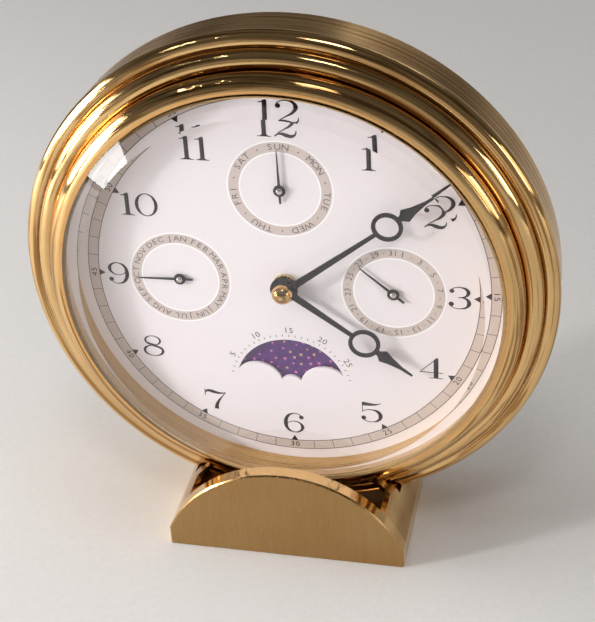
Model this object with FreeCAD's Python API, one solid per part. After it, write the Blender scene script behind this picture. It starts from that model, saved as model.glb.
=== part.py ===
import FreeCAD, Part
import math
import os

# Round brass desk clock with day, date, month and moon displays, on a low brass base.
# Millimetres. +X right, +Z up, the dial looks along -Y.
# The origin is on the resting surface, under the middle of the object's box.
#
# The clock head is drawn in a "face frame": x right, y up, z out of the dial towards
# the viewer, with its origin at the dial's centre. to_clock() puts it in its place.

V = FreeCAD.Vector

# ---------------------------------------------------------------- driving dimensions
DIAL_RADIUS = 61.0            # the head grows and shrinks with its dial
HEAD_CLEARANCE = 6.0          # lowest point of the head above the resting surface
DIAL_Y = -6.0                 # front face of the dial
SLIDE_FIT = 0.1               # radial clearance of a seated round part
SHAFT_FIT = 0.05              # radial clearance of a shaft in its bearing
AIR = 0.3                     # gap between parts that must not touch

# Bezel: three half-round beads that step back outwards
LIP_INSET = 1.8               # the glass's bore is this much smaller than the dial
LIP_LAND = 0.4                # flat rim round the glass
LIP_HEIGHT = 9.2              # rim above the dial
GROOVE_1 = (4.0, 3.6)         # distance outside the lip, and height over the dial
GROOVE_2 = (8.9, 1.6)
GROOVE_3 = (12.3, -2.0)       # where the third bead meets the side wall
BEAD_BULGES = (2.0, 2.0, 2.2)
BEAD_OVERHANG = 0.6           # the third bead's crown stands out this far past groove 3
SIDE_STEP = 0.2               # the side wall lies this far inside groove 3
SIDE_BACK = -13.5             # back rim of the bezel
SIDE_ROUND = 1.0
BEZEL_WALL = 2.0
SKIRT_WALL = 1.8
SKIRT_BACK = -10.5
BEZEL_BOSS_RADIUS = 3.0
BEZEL_BOSS_OFFSET = 4.5       # bosses stand this far outside the dial

# Glass with a broad bevel
GLASS_BACK = 8.0
GLASS_EDGE = 1.9
GLASS_BEVEL_WIDTH = 5.2
GLASS_FRONT = 12.0
GASKET_THICKNESS = 0.4
LEDGE_THICKNESS = 1.0
LEDGE_WIDTH = 1.4

# Dial and the ring wall round it
DIAL_THICKNESS = 0.8
DIAL_RING_WALL = 3.4
SUB_DIAL_CIRCLE = 28.9        # distance of the three small dials from the centre
ARBOR_HOLE = 1.1

# Moon window
MOON_CENTRE_DROP = 32.9
MOON_WINDOW_RADIUS = 15.4
MOON_HUMP_OFFSET = 9.4
MOON_HUMP_RADIUS = 7.0
MOON_HUB_RADIUS = 3.4
MOON_DISC_RADIUS = 16.6
MOON_DISC_FRONT = -1.3
MOON_DISC_THICKNESS = 0.5

# Rear case and cover
CASE_WALL = 1.4
COVER_AIR = 0.4               # between the cover and the motor case
CASE_FLANGE_WIDTH = 9.2
CASE_FLANGE_THICKNESS = 1.0
COVER_THICKNESS = 1.2
LUG_RADIUS = 3.2
LUG_OFFSET = 4.2              # lugs stand this far inside the case's radius
LUG_LENGTH = 4.5

# Screws: shank radius, head radius, head height
SMALL_SCREW = (0.9, 1.7, 0.9)
BASE_SCREW = (1.5, 2.7, 1.2)

# Base: thick front plate and a thin sheet box behind it
PLATE_WIDTH = 67.0
PLATE_HEIGHT = 28.2
PLATE_FLAT = 5.5              # upright part of the plate's sides
PLATE_THICKNESS = 4.0
PLATE_CHAMFER = 0.4
PLATE_FRONT_REACH = 20.5      # plate's front face ahead of the dial
SHELL_WALL = 1.2
SHELL_BACK_REACH = 16.0       # back of the base behind the dial
SHELL_TOP = 15.0
SHELL_RISE_TOP = 19.0         # the sides stand higher just ahead of the beads
SHELL_RISE = 7.6              # and rise this far ahead of the dial
SHELL_STEP = 3.4              # the raised front of the sides ends this far ahead of the dial
FLOOR_THICKNESS = 1.6
FELT_THICKNESS = 0.8
TAB_WIDTH = 36.0
TAB_HEIGHT = 13.0
SADDLE_WIDTH = 50.0
SADDLE_LENGTH = 9.0
SADDLE_FRONT_REACH = 3.0      # saddle starts this far behind the dial
SADDLE_SCREW_X = 10.0
TAB_SCREW_X = 12.0
TAB_SCREW_HEIGHT = 8.0

# Hands
MINUTE_ANGLE = 51.85          # clockwise from twelve
HOUR_ANGLE = 125.65
DAY_ANGLE = -1.0
DATE_ANGLE = 310.0
MONTH_ANGLE = 268.0
HAND_THICKNESS = 0.5
HOUR_HAND_Z = 2.1
MINUTE_HAND_Z = 3.5
SMALL_HAND_Z = 0.6
SMALL_HAND_THICKNESS = 0.35
SMALL_ARBOR_PROUD = 0.25      # the arbors stand out this far from the small hands
# length, ring centre, ring radius, ring bore, shoulder, shoulder half width, neck of the point
MINUTE_SHAPE = (54.4, 35.75, 4.08, 3.0, 41.65, 1.9, 48.2)
HOUR_SHAPE = (41.75, 26.0, 4.3, 3.22, 32.15, 1.9, 38.0)
SHAFT_HALF_WIDTH = 1.05
SHAFT_END_HALF_WIDTH = 0.44   # where the shaft meets the ring
NECK_HALF_WIDTH = 0.75        # between the ring and the blade
BLADE_RISE = 1.35             # the blade widens to its shoulder over this length
BLADE_BEND = 2.5              # its edge bends this far past the shoulder
BLADE_BEND_SHARE = 0.56       # where it has this share of the shoulder's width
POINT_HALF_WIDTH = 0.38
TIP_HALF_WIDTH = 0.2
RING_LAP = 0.4                # the neck starts this far inside the ring
MINUTE_HUB_RADIUS = 3.1
HOUR_HUB_RADIUS = 3.7
SMALL_HAND_LENGTH = 11.5
SMALL_HAND_TAIL = 3.7
SMALL_HAND_HUB = 1.6
SMALL_HAND_HALF_WIDTH = 0.34
NUT_RADIUS = 2.8
NUT_HEIGHT = 2.9
NUT_COLLAR = 0.9              # straight part under the nut's dome

# Centre stack radii
MINUTE_ARBOR_RADIUS = 1.5
MINUTE_TIP_RADIUS = 1.0
TRAIN_ARBOR_RADIUS = 0.8
HOUR_PIPE_WALL = 0.75
BUSH_WALL = 1.1
SMALL_ARBOR_RADIUS = 0.7

# Layers behind the dial, each (front, back) in the face frame
STAR_LAYER = (-2.3, -3.1)
CALENDAR_PLATE_LAYER = (-4.0, -5.2)
DAY_LAYER = (-5.9, -6.7)
HOUR_LAYER = (-7.3, -8.1)
MINUTE_LAYER = (-8.7, -9.5)
FRONT_PLATE_LAYER = (-10.2, -11.4)
CENTRE_LAYER = (-12.0, -12.8)
THIRD_LAYER = (-13.6, -14.4)
FOURTH_LAYER = (-15.2, -16.0)
STEP_LAYER = (-16.8, -17.6)
ROTOR_LAYER = (-18.2, -20.4)
BRIDGE_LAYER = (-21.4, -22.4)
MOTOR_WALL = 1.2

# Calendar work
CALENDAR_PLATE_GAP = 9.6      # between the plate and the case wall
PILLAR_RADIUS = 2.0
PILLAR_INSET = 3.5
DAY_STAR = (7, 9.0, 14.0)      # teeth, root radius, tip radius
DATE_STAR = (31, 12.3, 14.0)
MONTH_STAR = (12, 9.4, 12.0)
MOON_STAR = (59, 13.7, 14.7)
STAR_HUB_RADIUS = 2.2
FINGER_REACH = 8.0
FINGER_HALF_WIDTH = 0.6
FINGER_HUB = 2.0
DAY_WHEEL_ANGLE = 45.0         # direction of the upper day wheel from the centre
MOON_DRIVE_ANGLE = 240.0       # direction of the lower one
HOURS_SINCE_MIDNIGHT = 16.17
JUMPER_WIDTH = 0.7
JUMPER_REACH = 12.0
CORRECTOR_TRAVEL = 1.2
CORRECTOR_RADIUS = 0.9
CORRECTOR_COLLAR = 2.2
BUTTON_RADIUS = 1.8
BUTTON_PROUD = 2.4
SPRING_SHEET = 0.4
SPRING_WIDTH = 4.4

# Toothed wheels: (teeth, module)
CANNON_PINION = (8, 0.625)
MINUTE_WHEEL = (24, 0.625)
MINUTE_PINION = (8, 0.5)
HOUR_WHEEL = (32, 0.5)
HOUR_PINION = (12, 0.778)
DAY_WHEEL = (24, 0.778)
CENTRE_WHEEL = (48, 0.3)
THIRD_PINION = (6, 0.3)
THIRD_WHEEL = (45, 0.3)
FOURTH_PINION = (6, 0.3)
FOURTH_WHEEL = (30, 0.3)
STEP_PINION = (6, 0.3)
STEP_WHEEL = (36, 0.25)
ROTOR_PINION = (6, 0.25)
TOOTH_TOP = 0.8                # of a module above the pitch circle
TOOTH_FOOT = 1.15              # of a module below it
TOOTH_SLOPE = math.tan(math.radians(20.0))
BACKLASH = 0.17                # of a module
MINUTE_WHEEL_ANGLE = -8.0
THIRD_ANGLE = 100.0
FOURTH_ANGLE = 150.0
STEP_ANGLE = 190.0
ROTOR_ANGLE = 170.0
WHEEL_ARBOR_RADIUS = 0.5
ROTOR_RADIUS = 2.6

# Motor case, battery and electrics
MOTOR_TOP = 26.5
MOTOR_SIDE_MARGIN = 3.05      # case beside each end of the battery bay
BATTERY_RADIUS = 7.2
BATTERY_LENGTH = 49.5
BATTERY_AIR = 0.3
CONTACT_THICKNESS = 0.4
STATOR_FOOT = -11.4           # lower edge of the stator's closed loop
STATOR_CLEARANCE = 0.9
COIL_RADIUS = 2.6
COIL_FLANGE_RADIUS = 3.3
BRIDGE_BOTTOM = -7.0
POST_RADIUS = 1.1
KNOB_RADIUS = 6.0
KNOB_AIR = 0.8
KNOB_THICKNESS = 3.85
KNOB_RIBS = 18

# ---------------------------------------------------------------- derived places
LIP_RADIUS = DIAL_RADIUS - LIP_INSET
VALLEY_1 = (LIP_RADIUS + GROOVE_1[0], GROOVE_1[1])
VALLEY_2 = (LIP_RADIUS + GROOVE_2[0], GROOVE_2[1])
VALLEY_3 = (LIP_RADIUS + GROOVE_3[0], GROOVE_3[1])
SIDE_RADIUS = VALLEY_3[0] - SIDE_STEP
BEZEL_RADIUS_MAX = VALLEY_3[0] + BEAD_OVERHANG
AXIS_HEIGHT = HEAD_CLEARANCE + BEZEL_RADIUS_MAX
BEZEL_BOSS_CIRCLE = DIAL_RADIUS + BEZEL_BOSS_OFFSET
GLASS_FLAT_RADIUS = LIP_RADIUS - SLIDE_FIT - GLASS_BEVEL_WIDTH
LEDGE_RADIUS = LIP_RADIUS - LEDGE_WIDTH
DIAL_VISIBLE_RADIUS = DIAL_RADIUS - DIAL_RING_WALL
CASE_RADIUS = DIAL_RADIUS
CASE_FLANGE_RADIUS = CASE_RADIUS + CASE_FLANGE_WIDTH
LUG_CIRCLE = CASE_RADIUS - LUG_OFFSET
CALENDAR_PLATE_RADIUS = CASE_RADIUS - CASE_WALL - CALENDAR_PLATE_GAP
PILLAR_CIRCLE = CALENDAR_PLATE_RADIUS - PILLAR_INSET
LIP_BACK = GLASS_BACK - GASKET_THICKNESS
LEDGE_BACK = LIP_BACK - LEDGE_THICKNESS
DIAL_BACK = -DIAL_THICKNESS
SKIRT_RADIUS = DIAL_RADIUS + SLIDE_FIT
HOUR_PIPE_BORE = MINUTE_ARBOR_RADIUS + SHAFT_FIT
HOUR_PIPE_RADIUS = HOUR_PIPE_BORE + HOUR_PIPE_WALL
BUSH_BORE = HOUR_PIPE_RADIUS + SHAFT_FIT
BUSH_RADIUS = BUSH_BORE + BUSH_WALL
BATTERY_Z = FRONT_PLATE_LAYER[1] - BATTERY_AIR / 2 - BATTERY_RADIUS
BATTERY_DROP = BATTERY_RADIUS + BATTERY_AIR + MOTOR_WALL + STATOR_CLEARANCE - STATOR_FOOT
MOTOR_BOTTOM = -BATTERY_DROP - BATTERY_RADIUS - BATTERY_AIR - MOTOR_WALL
MOTOR_HALF_WIDTH = BATTERY_LENGTH / 2 + CONTACT_THICKNESS + BATTERY_AIR + MOTOR_SIDE_MARGIN
MOTOR_CASE_BACK = BATTERY_Z - BATTERY_RADIUS - BATTERY_AIR
COVER_FRONT = MOTOR_CASE_BACK - COVER_AIR
CASE_BACK = COVER_FRONT - COVER_THICKNESS
KNOB_FRONT = CASE_BACK - KNOB_AIR
KNOB_BACK = KNOB_FRONT - KNOB_THICKNESS
COVER_RADIUS = CASE_RADIUS - CASE_WALL - SLIDE_FIT
DAY_CENTRE = (0.0, SUB_DIAL_CIRCLE)
DATE_CENTRE = (SUB_DIAL_CIRCLE, 0.0)
MONTH_CENTRE = (-SUB_DIAL_CIRCLE, 0.0)
MOON_CENTRE = (0.0, -MOON_CENTRE_DROP)


# ---------------------------------------------------------------- small helpers
def polar(radius, degrees, centre=(0.0, 0.0)):
    """A point at a counter-clockwise angle from +x."""
    angle = math.radians(degrees)
    return (centre[0] + radius * math.cos(angle), centre[1] + radius * math.sin(angle))


def direction(start, end):
    """The counter-clockwise angle from one point to another, in degrees."""
    return math.degrees(math.atan2(end[1] - start[1], end[0] - start[0]))


def to_clock(shape):
    """Put a shape drawn in the face frame where the clock head stands."""
    placed = shape.copy()
    placed.rotate(V(0, 0, 0), V(1, 0, 0), 90)
    placed.translate(V(0, DIAL_Y, AXIS_HEIGHT))
    return placed


def cylinder(radius, z_low, z_high, centre=(0.0, 0.0)):
    return Part.makeCylinder(radius, z_high - z_low, V(centre[0], centre[1], z_low))


def tube(bore, radius, z_low, z_high, centre=(0.0, 0.0)):
    return cylinder(radius, z_low, z_high, centre).cut(cylinder(bore, z_low - 1, z_high + 1, centre))


def block(x_low, x_high, y_low, y_high, z_low, z_high):
    return Part.makeBox(x_high - x_low, y_high - y_low, z_high - z_low, V(x_low, y_low, z_low))


def polygon_face(points, z=0.0):
    corners = [V(x, y, z) for x, y in points]
    return Part.Face(Part.makePolygon(corners + corners[:1]))


def prism(points, z_low, z_high):
    """An outline in the dial's plane, given a thickness."""
    return polygon_face(points, z_low).extrude(V(0, 0, z_high - z_low))


def turned(points):
    """A (radius, z) outline turned round the face frame's z axis."""
    corners = [V(r, 0, z) for r, z in points]
    outline = Part.Face(Part.makePolygon(corners + corners[:1]))
    return outline.revolve(V(0, 0, 0), V(0, 0, 1), 360)


def lip_corner():
    """Where the bezel's flat lip ends and its first bead begins."""
    return LIP_RADIUS + LIP_LAND, LIP_HEIGHT


def bead_edge(start, end, bulge):
    """An arc from start to end that stands proud of their chord, to its left."""
    middle = V((start[0] + end[0]) / 2, 0, (start[1] + end[1]) / 2)
    along = V(end[0] - start[0], 0, end[1] - start[1])
    along.normalize()
    outward = V(-along.z, 0, along.x)
    top = middle + outward * bulge
    return Part.Arc(V(start[0], 0, start[1]), top, V(end[0], 0, end[1])).toShape()


def turn_about(shape, degrees, centre=(0.0, 0.0)):
    """Turn a shape counter-clockwise in the dial's plane."""
    turned_shape = shape.copy()
    turned_shape.rotate(V(centre[0], centre[1], 0), V(0, 0, 1), degrees)
    return turned_shape


def screw(size, length, centre, head_z, forward):
    """A pan-head screw; forward is +1 when its shank points at the viewer, -1 away."""
    shank_radius, head_radius, head_height = size
    if forward > 0:
        head = cylinder(head_radius, head_z - head_height, head_z, centre)
        shank = cylinder(shank_radius, head_z, head_z + length, centre)
    else:
        head = cylinder(head_radius, head_z, head_z + head_height, centre)
        shank = cylinder(shank_radius, head_z - length, head_z, centre)
    slot = block(centre[0] - head_radius, centre[0] + head_radius, centre[1] - 0.25, centre[1] + 0.25,
                 head_z - forward * head_height - 0.4, head_z - forward * head_height + 0.4)
    return head.fuse(shank).removeSplitter().cut(slot)


# ---------------------------------------------------------------- toothed wheels
def pitch_radius(gear):
    return gear[0] * gear[1] / 2


def centre_distance(first, second):
    return pitch_radius(first) + pitch_radius(second)


def meshing_phase(driver, driver_phase, line_angle, driven):
    """Tooth phase that puts a gap of the driven wheel on a tooth of its driver."""
    swing = math.radians(driver_phase - line_angle)
    angle = math.radians(line_angle) + math.pi
    angle -= pitch_radius(driver) / pitch_radius(driven) * swing + math.pi / driven[0]
    return math.degrees(angle)


def gear_blank(gear, phase, layer, centre=(0.0, 0.0)):
    """A wheel with straight-sided teeth; small pinions get radial feet."""
    teeth, module = gear
    radius = pitch_radius(gear)
    tip = radius + TOOTH_TOP * module
    root = radius - TOOTH_FOOT * module
    half = math.pi / (2 * teeth) - BACKLASH * module / (2 * radius)
    half_tip = half - TOOTH_TOP * module * TOOTH_SLOPE / radius
    pinion = teeth <= 12
    half_root = half if pinion else half + TOOTH_FOOT * module * TOOTH_SLOPE / radius
    flank = [(root, half_root), (tip, half_tip)]
    if pinion:
        flank = [(root, half_root), (radius, half), (tip, half_tip)]
    points = []
    for tooth in range(teeth):
        middle = math.radians(phase) + 2 * math.pi * tooth / teeth
        rising = [polar(r, math.degrees(middle - a), centre) for r, a in flank]
        falling = [polar(r, math.degrees(middle + a), centre) for r, a in reversed(flank)]
        points += rising + falling
    front, back = layer
    return prism(points, back, front)


def star_blank(star, phase, centre):
    """A star wheel with pointed teeth."""
    teeth, root, tip = star
    points = []
    for tooth in range(teeth):
        angle = phase + 360.0 * tooth / teeth
        points.append(polar(tip, angle, centre))
        points.append(polar(root, angle + 180.0 / teeth, centre))
    return prism(points, STAR_LAYER[1], STAR_LAYER[0])


def wheel_with_arbor(gear, phase, layer, centre, front, back, radius=WHEEL_ARBOR_RADIUS):
    arbor = cylinder(radius, back, front, centre)
    return gear_blank(gear, phase, layer, centre).fuse(arbor)


# ---------------------------------------------------------------- case
def make_bezel():
    lip_outer = lip_corner()
    straight = [
        (LEDGE_RADIUS, LEDGE_BACK),
        (LEDGE_RADIUS, LIP_BACK),
        (LIP_RADIUS, LIP_BACK),
        (LIP_RADIUS, LIP_HEIGHT),
        lip_outer,
    ]
    skirt_outer = SKIRT_RADIUS + SKIRT_WALL
    channel_outer = SIDE_RADIUS - BEZEL_WALL
    inside = [
        (SIDE_RADIUS, VALLEY_3[1] - 0.4),
        (SIDE_RADIUS, SIDE_BACK + SIDE_ROUND),
        (SIDE_RADIUS - SIDE_ROUND * 0.3, SIDE_BACK + SIDE_ROUND * 0.3),
        (SIDE_RADIUS - SIDE_ROUND, SIDE_BACK),
        (channel_outer, SIDE_BACK),
        (channel_outer, VALLEY_3[1] - 1.2),
        (skirt_outer, VALLEY_2[1] - 1.0),
        (skirt_outer, SKIRT_BACK),
        (SKIRT_RADIUS, SKIRT_BACK),
        (SKIRT_RADIUS, LEDGE_BACK),
    ]
    edges = [Part.makeLine(V(a[0], 0, a[1]), V(b[0], 0, b[1])) for a, b in zip(straight, straight[1:])]
    stops = [lip_outer, VALLEY_1, VALLEY_2, VALLEY_3]
    for start, end, bulge in zip(stops, stops[1:], BEAD_BULGES):
        edges.append(bead_edge(start, end, bulge))
    rest = [VALLEY_3] + inside + straight[:1]
    edges += [Part.makeLine(V(a[0], 0, a[1]), V(b[0], 0, b[1])) for a, b in zip(rest, rest[1:])]
    ring = Part.Face(Part.Wire(edges)).revolve(V(0, 0, 0), V(0, 0, 1), 360)
    for angle in case_screw_angles():
        centre = polar(BEZEL_BOSS_CIRCLE, angle)
        boss = cylinder(BEZEL_BOSS_RADIUS, SIDE_BACK, VALLEY_2[1] - 1.0, centre)
        ring = ring.fuse(boss)
        ring = ring.cut(cylinder(SMALL_SCREW[0] + SHAFT_FIT, SIDE_BACK - 1, SIDE_BACK + 6, centre))
    for hole in saddle_screw_holes():
        ring = ring.cut(hole)
    return to_clock(ring)


def case_screw_angles():
    return [45 + 90 * i for i in range(4)]


def saddle_screw_holes():
    """Upright holes through the bottom of the bezel's side wall, in the face frame."""
    holes = []
    depth = -(SADDLE_FRONT_REACH + SADDLE_LENGTH / 2)
    for side in (-1, 1):
        start = V(side * SADDLE_SCREW_X, -AXIS_HEIGHT, depth)
        holes.append(Part.makeCylinder(BASE_SCREW[0] + SHAFT_FIT, 12.0, start, V(0, 1, 0)))
    return holes


def make_glass():
    edge_radius = LIP_RADIUS - SLIDE_FIT
    return to_clock(turned([
        (0, GLASS_BACK),
        (edge_radius, GLASS_BACK),
        (edge_radius, GLASS_BACK + GLASS_EDGE),
        (GLASS_FLAT_RADIUS, GLASS_FRONT),
        (0, GLASS_FRONT),
    ]))


def make_glass_gasket():
    return to_clock(tube(LEDGE_RADIUS, LIP_RADIUS - SLIDE_FIT, LIP_BACK, GLASS_BACK))


def make_dial_ring():
    """The brushed wall between the dial and the bezel's ledge."""
    return to_clock(tube(DIAL_VISIBLE_RADIUS, DIAL_RADIUS, 0.0, LEDGE_BACK))


def moon_window():
    """The window's cutter: a round opening less two humps, a hub and the lower half."""
    low, high = DIAL_BACK - 1, 1.0
    window = cylinder(MOON_WINDOW_RADIUS, low, high, MOON_CENTRE)
    for side in (-1, 1):
        hump_centre = (side * MOON_HUMP_OFFSET, MOON_CENTRE[1])
        window = window.cut(cylinder(MOON_HUMP_RADIUS, low, high, hump_centre))
    window = window.cut(cylinder(MOON_HUB_RADIUS, low, high, MOON_CENTRE))
    reach = MOON_WINDOW_RADIUS + 1
    below = block(-reach, reach, MOON_CENTRE[1] - reach, MOON_CENTRE[1], low, high)
    window = window.cut(below)
    return max(window.Solids, key=lambda solid: solid.Volume)


def make_dial():
    plate = cylinder(DIAL_RADIUS, DIAL_BACK, 0.0)
    plate = plate.cut(cylinder(BUSH_RADIUS + SHAFT_FIT, DIAL_BACK - 1, 1.0))
    for centre in (DAY_CENTRE, DATE_CENTRE, MONTH_CENTRE):
        plate = plate.cut(cylinder(ARBOR_HOLE, DIAL_BACK - 1, 1.0, centre))
    return to_clock(plate.cut(moon_window()))


def make_rear_case():
    inner = CASE_RADIUS - CASE_WALL
    flange_front = SIDE_BACK
    flange_back = SIDE_BACK - CASE_FLANGE_THICKNESS
    case = turned([
        (inner, DIAL_BACK),
        (CASE_RADIUS, DIAL_BACK),
        (CASE_RADIUS, flange_front),
        (CASE_FLANGE_RADIUS, flange_front),
        (CASE_FLANGE_RADIUS, flange_back),
        (CASE_RADIUS, flange_back),
        (CASE_RADIUS, CASE_BACK),
        (inner, CASE_BACK),
    ])
    for angle in cover_screw_angles():
        centre = polar(LUG_CIRCLE, angle)
        lug = cylinder(LUG_RADIUS, COVER_FRONT, COVER_FRONT + LUG_LENGTH, centre)
        case = case.fuse(lug.common(cylinder(inner + CASE_WALL / 2, CASE_BACK, 0)))
        case = case.cut(cylinder(SMALL_SCREW[0] + SHAFT_FIT, CASE_BACK, COVER_FRONT + LUG_LENGTH - 1, centre))
    for angle in case_screw_angles():
        centre = polar(BEZEL_BOSS_CIRCLE, angle)
        case = case.cut(cylinder(SMALL_SCREW[0] + SHAFT_FIT, flange_back - 1, flange_front + 1, centre))
    return to_clock(case.removeSplitter())


def cover_screw_angles():
    return [45 + 90 * i for i in range(4)]


def make_back_cover():
    """Flat cover with a window for the battery, and holes for the knob and correctors."""
    cover = cylinder(COVER_RADIUS, CASE_BACK, COVER_FRONT)
    half_length = BATTERY_LENGTH / 2 + 1.0
    half_height = BATTERY_RADIUS + 0.6
    window = block(-half_length, half_length, -BATTERY_DROP - half_height, -BATTERY_DROP + half_height,
                   CASE_BACK - 1, COVER_FRONT + 1)
    cover = cover.cut(window)
    stem_hole = cylinder(TRAIN_ARBOR_RADIUS + 0.6, CASE_BACK - 1, COVER_FRONT + 1, minute_wheel_centre())
    cover = cover.cut(stem_hole)
    for centre in corrector_centres().values():
        cover = cover.cut(cylinder(BUTTON_RADIUS + SLIDE_FIT, CASE_BACK - 1, COVER_FRONT + 1, centre))
    for angle in cover_screw_angles():
        hole = cylinder(SMALL_SCREW[0] + SHAFT_FIT, CASE_BACK - 1, COVER_FRONT + 1, polar(LUG_CIRCLE, angle))
        cover = cover.cut(hole)
    return to_clock(cover)


def make_cover_screws():
    length = COVER_THICKNESS + 3.0
    places = [polar(LUG_CIRCLE, angle) for angle in cover_screw_angles()]
    return [to_clock(screw(SMALL_SCREW, length, place, CASE_BACK, 1)) for place in places]


def make_case_screws():
    back = SIDE_BACK - CASE_FLANGE_THICKNESS
    places = [polar(BEZEL_BOSS_CIRCLE, angle) for angle in case_screw_angles()]
    return [to_clock(screw(SMALL_SCREW, 5.0, place, back, 1)) for place in places]


# ---------------------------------------------------------------- base
def plate_outline(inset=0.0):
    """The front plate's outline: upright sides and one round top. Drawn as (x, z)."""
    half = PLATE_WIDTH / 2
    rise = PLATE_HEIGHT - PLATE_FLAT
    radius = (half ** 2 + rise ** 2) / (2 * rise)
    centre_height = PLATE_HEIGHT - radius
    inner_half = half - inset
    inner_radius = radius - inset
    shoulder = centre_height + math.sqrt(inner_radius ** 2 - inner_half ** 2)
    corners = [V(-inner_half, 0, 0), V(inner_half, 0, 0), V(inner_half, 0, shoulder)]
    crown = V(0, 0, centre_height + inner_radius)
    last = V(-inner_half, 0, shoulder)
    edges = [
        Part.makeLine(corners[0], corners[1]),
        Part.makeLine(corners[1], corners[2]),
        Part.Arc(corners[2], crown, last).toShape(),
        Part.makeLine(last, corners[0]),
    ]
    return Part.Face(Part.Wire(edges))


def outline_body(inset, y_low, y_high):
    face = plate_outline(inset)
    face.translate(V(0, y_low, 0))
    return face.extrude(V(0, y_high - y_low, 0))


def base_y():
    """The base's stations along Y: plate front, plate back, shell back."""
    front = DIAL_Y - PLATE_FRONT_REACH
    return front, front + PLATE_THICKNESS, DIAL_Y + SHELL_BACK_REACH


def head_cutter(clearance):
    """The room that the clock head takes over the base, stepped like its beads."""
    first = bead_edge(lip_corner(), VALLEY_1, BEAD_BULGES[0]).Curve
    second = bead_edge(VALLEY_1, VALLEY_2, BEAD_BULGES[1]).Curve
    steps = [
        (BEZEL_RADIUS_MAX, SHELL_STEP),
        (second.Center.x + second.Radius, second.Center.z + second.Radius + clearance),
        (first.Center.x + first.Radius, GLASS_FRONT),
    ]
    room = None
    for radius, reach in steps:
        start = V(0, DIAL_Y - reach, AXIS_HEIGHT)
        step = Part.makeCylinder(radius + clearance, 60.0, start, V(0, 1, 0))
        room = step if room is None else room.fuse(step)
    return room


def make_base_plate():
    front, back, _ = base_y()
    plate = outline_body(0.0, front, back)
    rim = [edge for edge in plate.Edges
           if edge.BoundBox.YMax < front + PLATE_CHAMFER and edge.BoundBox.ZMax > PLATE_CHAMFER]
    plate = plate.makeChamfer(PLATE_CHAMFER, rim)
    for side in (-1, 1):
        hole = Part.makeCylinder(BASE_SCREW[0] + SHAFT_FIT, 2.6,
                                 V(side * TAB_SCREW_X, back - 2.6, TAB_SCREW_HEIGHT), V(0, 1, 0))
        plate = plate.cut(hole)
    return plate


def make_base_shell():
    _, front, back = base_y()
    shell = outline_body(0.0, front, back).cut(outline_body(SHELL_WALL, front - 1, back - SHELL_WALL))
    half = PLATE_WIDTH / 2 + 1
    rise = DIAL_Y - SHELL_RISE
    shell = shell.cut(block(-half, half, front - 1, rise, SHELL_TOP, PLATE_HEIGHT + 1))
    shell = shell.cut(block(-half, half, rise - 1, back + 1, SHELL_RISE_TOP, PLATE_HEIGHT + 1))
    inner_half = PLATE_WIDTH / 2 - SHELL_WALL
    shell = shell.cut(block(-inner_half, inner_half, front - 1, back - SHELL_WALL, -1, 1))
    return shell.cut(head_cutter(AIR))


def make_base_floor():
    """Floor plate with an upright tab that screws to the back of the front plate."""
    _, front, back = base_y()
    half = PLATE_WIDTH / 2 - SHELL_WALL - SLIDE_FIT
    top = FELT_THICKNESS + FLOOR_THICKNESS
    floor = block(-half, half, front, back - SHELL_WALL - SLIDE_FIT, FELT_THICKNESS, top)
    tab = block(-TAB_WIDTH / 2, TAB_WIDTH / 2, front, front + FLOOR_THICKNESS, top - 0.1, top + TAB_HEIGHT)
    floor = floor.fuse(tab).removeSplitter()
    for side in (-1, 1):
        floor = floor.cut(Part.makeCylinder(BASE_SCREW[0] + SHAFT_FIT, FLOOR_THICKNESS + 2,
                                            V(side * TAB_SCREW_X, front - 1, TAB_SCREW_HEIGHT), V(0, 1, 0)))
        floor = floor.cut(Part.makeCylinder(BASE_SCREW[0] + SHAFT_FIT, top + 1,
                                            V(side * SADDLE_SCREW_X, saddle_middle(), -0.5), V(0, 0, 1)))
    return floor


def saddle_middle():
    return DIAL_Y + SADDLE_FRONT_REACH + SADDLE_LENGTH / 2


def make_felt_pad():
    """Felt under the floor, with holes that the two saddle screws sink into."""
    _, front, back = base_y()
    half = PLATE_WIDTH / 2 - SHELL_WALL - SLIDE_FIT
    pad = block(-half, half, front, back - SHELL_WALL - SLIDE_FIT, 0.0, FELT_THICKNESS)
    for side in (-1, 1):
        pad = pad.cut(Part.makeCylinder(BASE_SCREW[1] + SLIDE_FIT, FELT_THICKNESS + 1,
                                        V(side * SADDLE_SCREW_X, saddle_middle(), -0.5), V(0, 0, 1)))
    return pad


def make_saddle():
    """Block with a hollow top that the bezel's side wall sits in."""
    bottom = FELT_THICKNESS + FLOOR_THICKNESS
    start = saddle_middle() - SADDLE_LENGTH / 2
    half = SADDLE_WIDTH / 2
    saddle = block(-half, half, start, start + SADDLE_LENGTH, bottom, SHELL_TOP)
    seat = V(0, start - 1, AXIS_HEIGHT)
    hollow = Part.makeCylinder(SIDE_RADIUS + SHAFT_FIT, SADDLE_LENGTH + 2, seat, V(0, 1, 0))
    saddle = saddle.cut(hollow)
    for side in (-1, 1):
        foot = V(side * SADDLE_SCREW_X, saddle_middle(), bottom - 1)
        saddle = saddle.cut(Part.makeCylinder(BASE_SCREW[0] + SHAFT_FIT, 20.0, foot, V(0, 0, 1)))
    return saddle.common(outline_body(SHELL_WALL + SLIDE_FIT, start - 1, start + SADDLE_LENGTH + 1))


def make_saddle_screws():
    """Two screws from under the floor, through the saddle, into the bezel."""
    screws = []
    for side in (-1, 1):
        head = Part.makeCylinder(BASE_SCREW[1], FELT_THICKNESS - 0.1, V(0, 0, 0.1), V(0, 0, 1))
        shank = Part.makeCylinder(BASE_SCREW[0], 9.6, V(0, 0, FELT_THICKNESS), V(0, 0, 1))
        body = head.fuse(shank).removeSplitter()
        body.translate(V(side * SADDLE_SCREW_X, saddle_middle(), 0))
        screws.append(body)
    return screws


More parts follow.
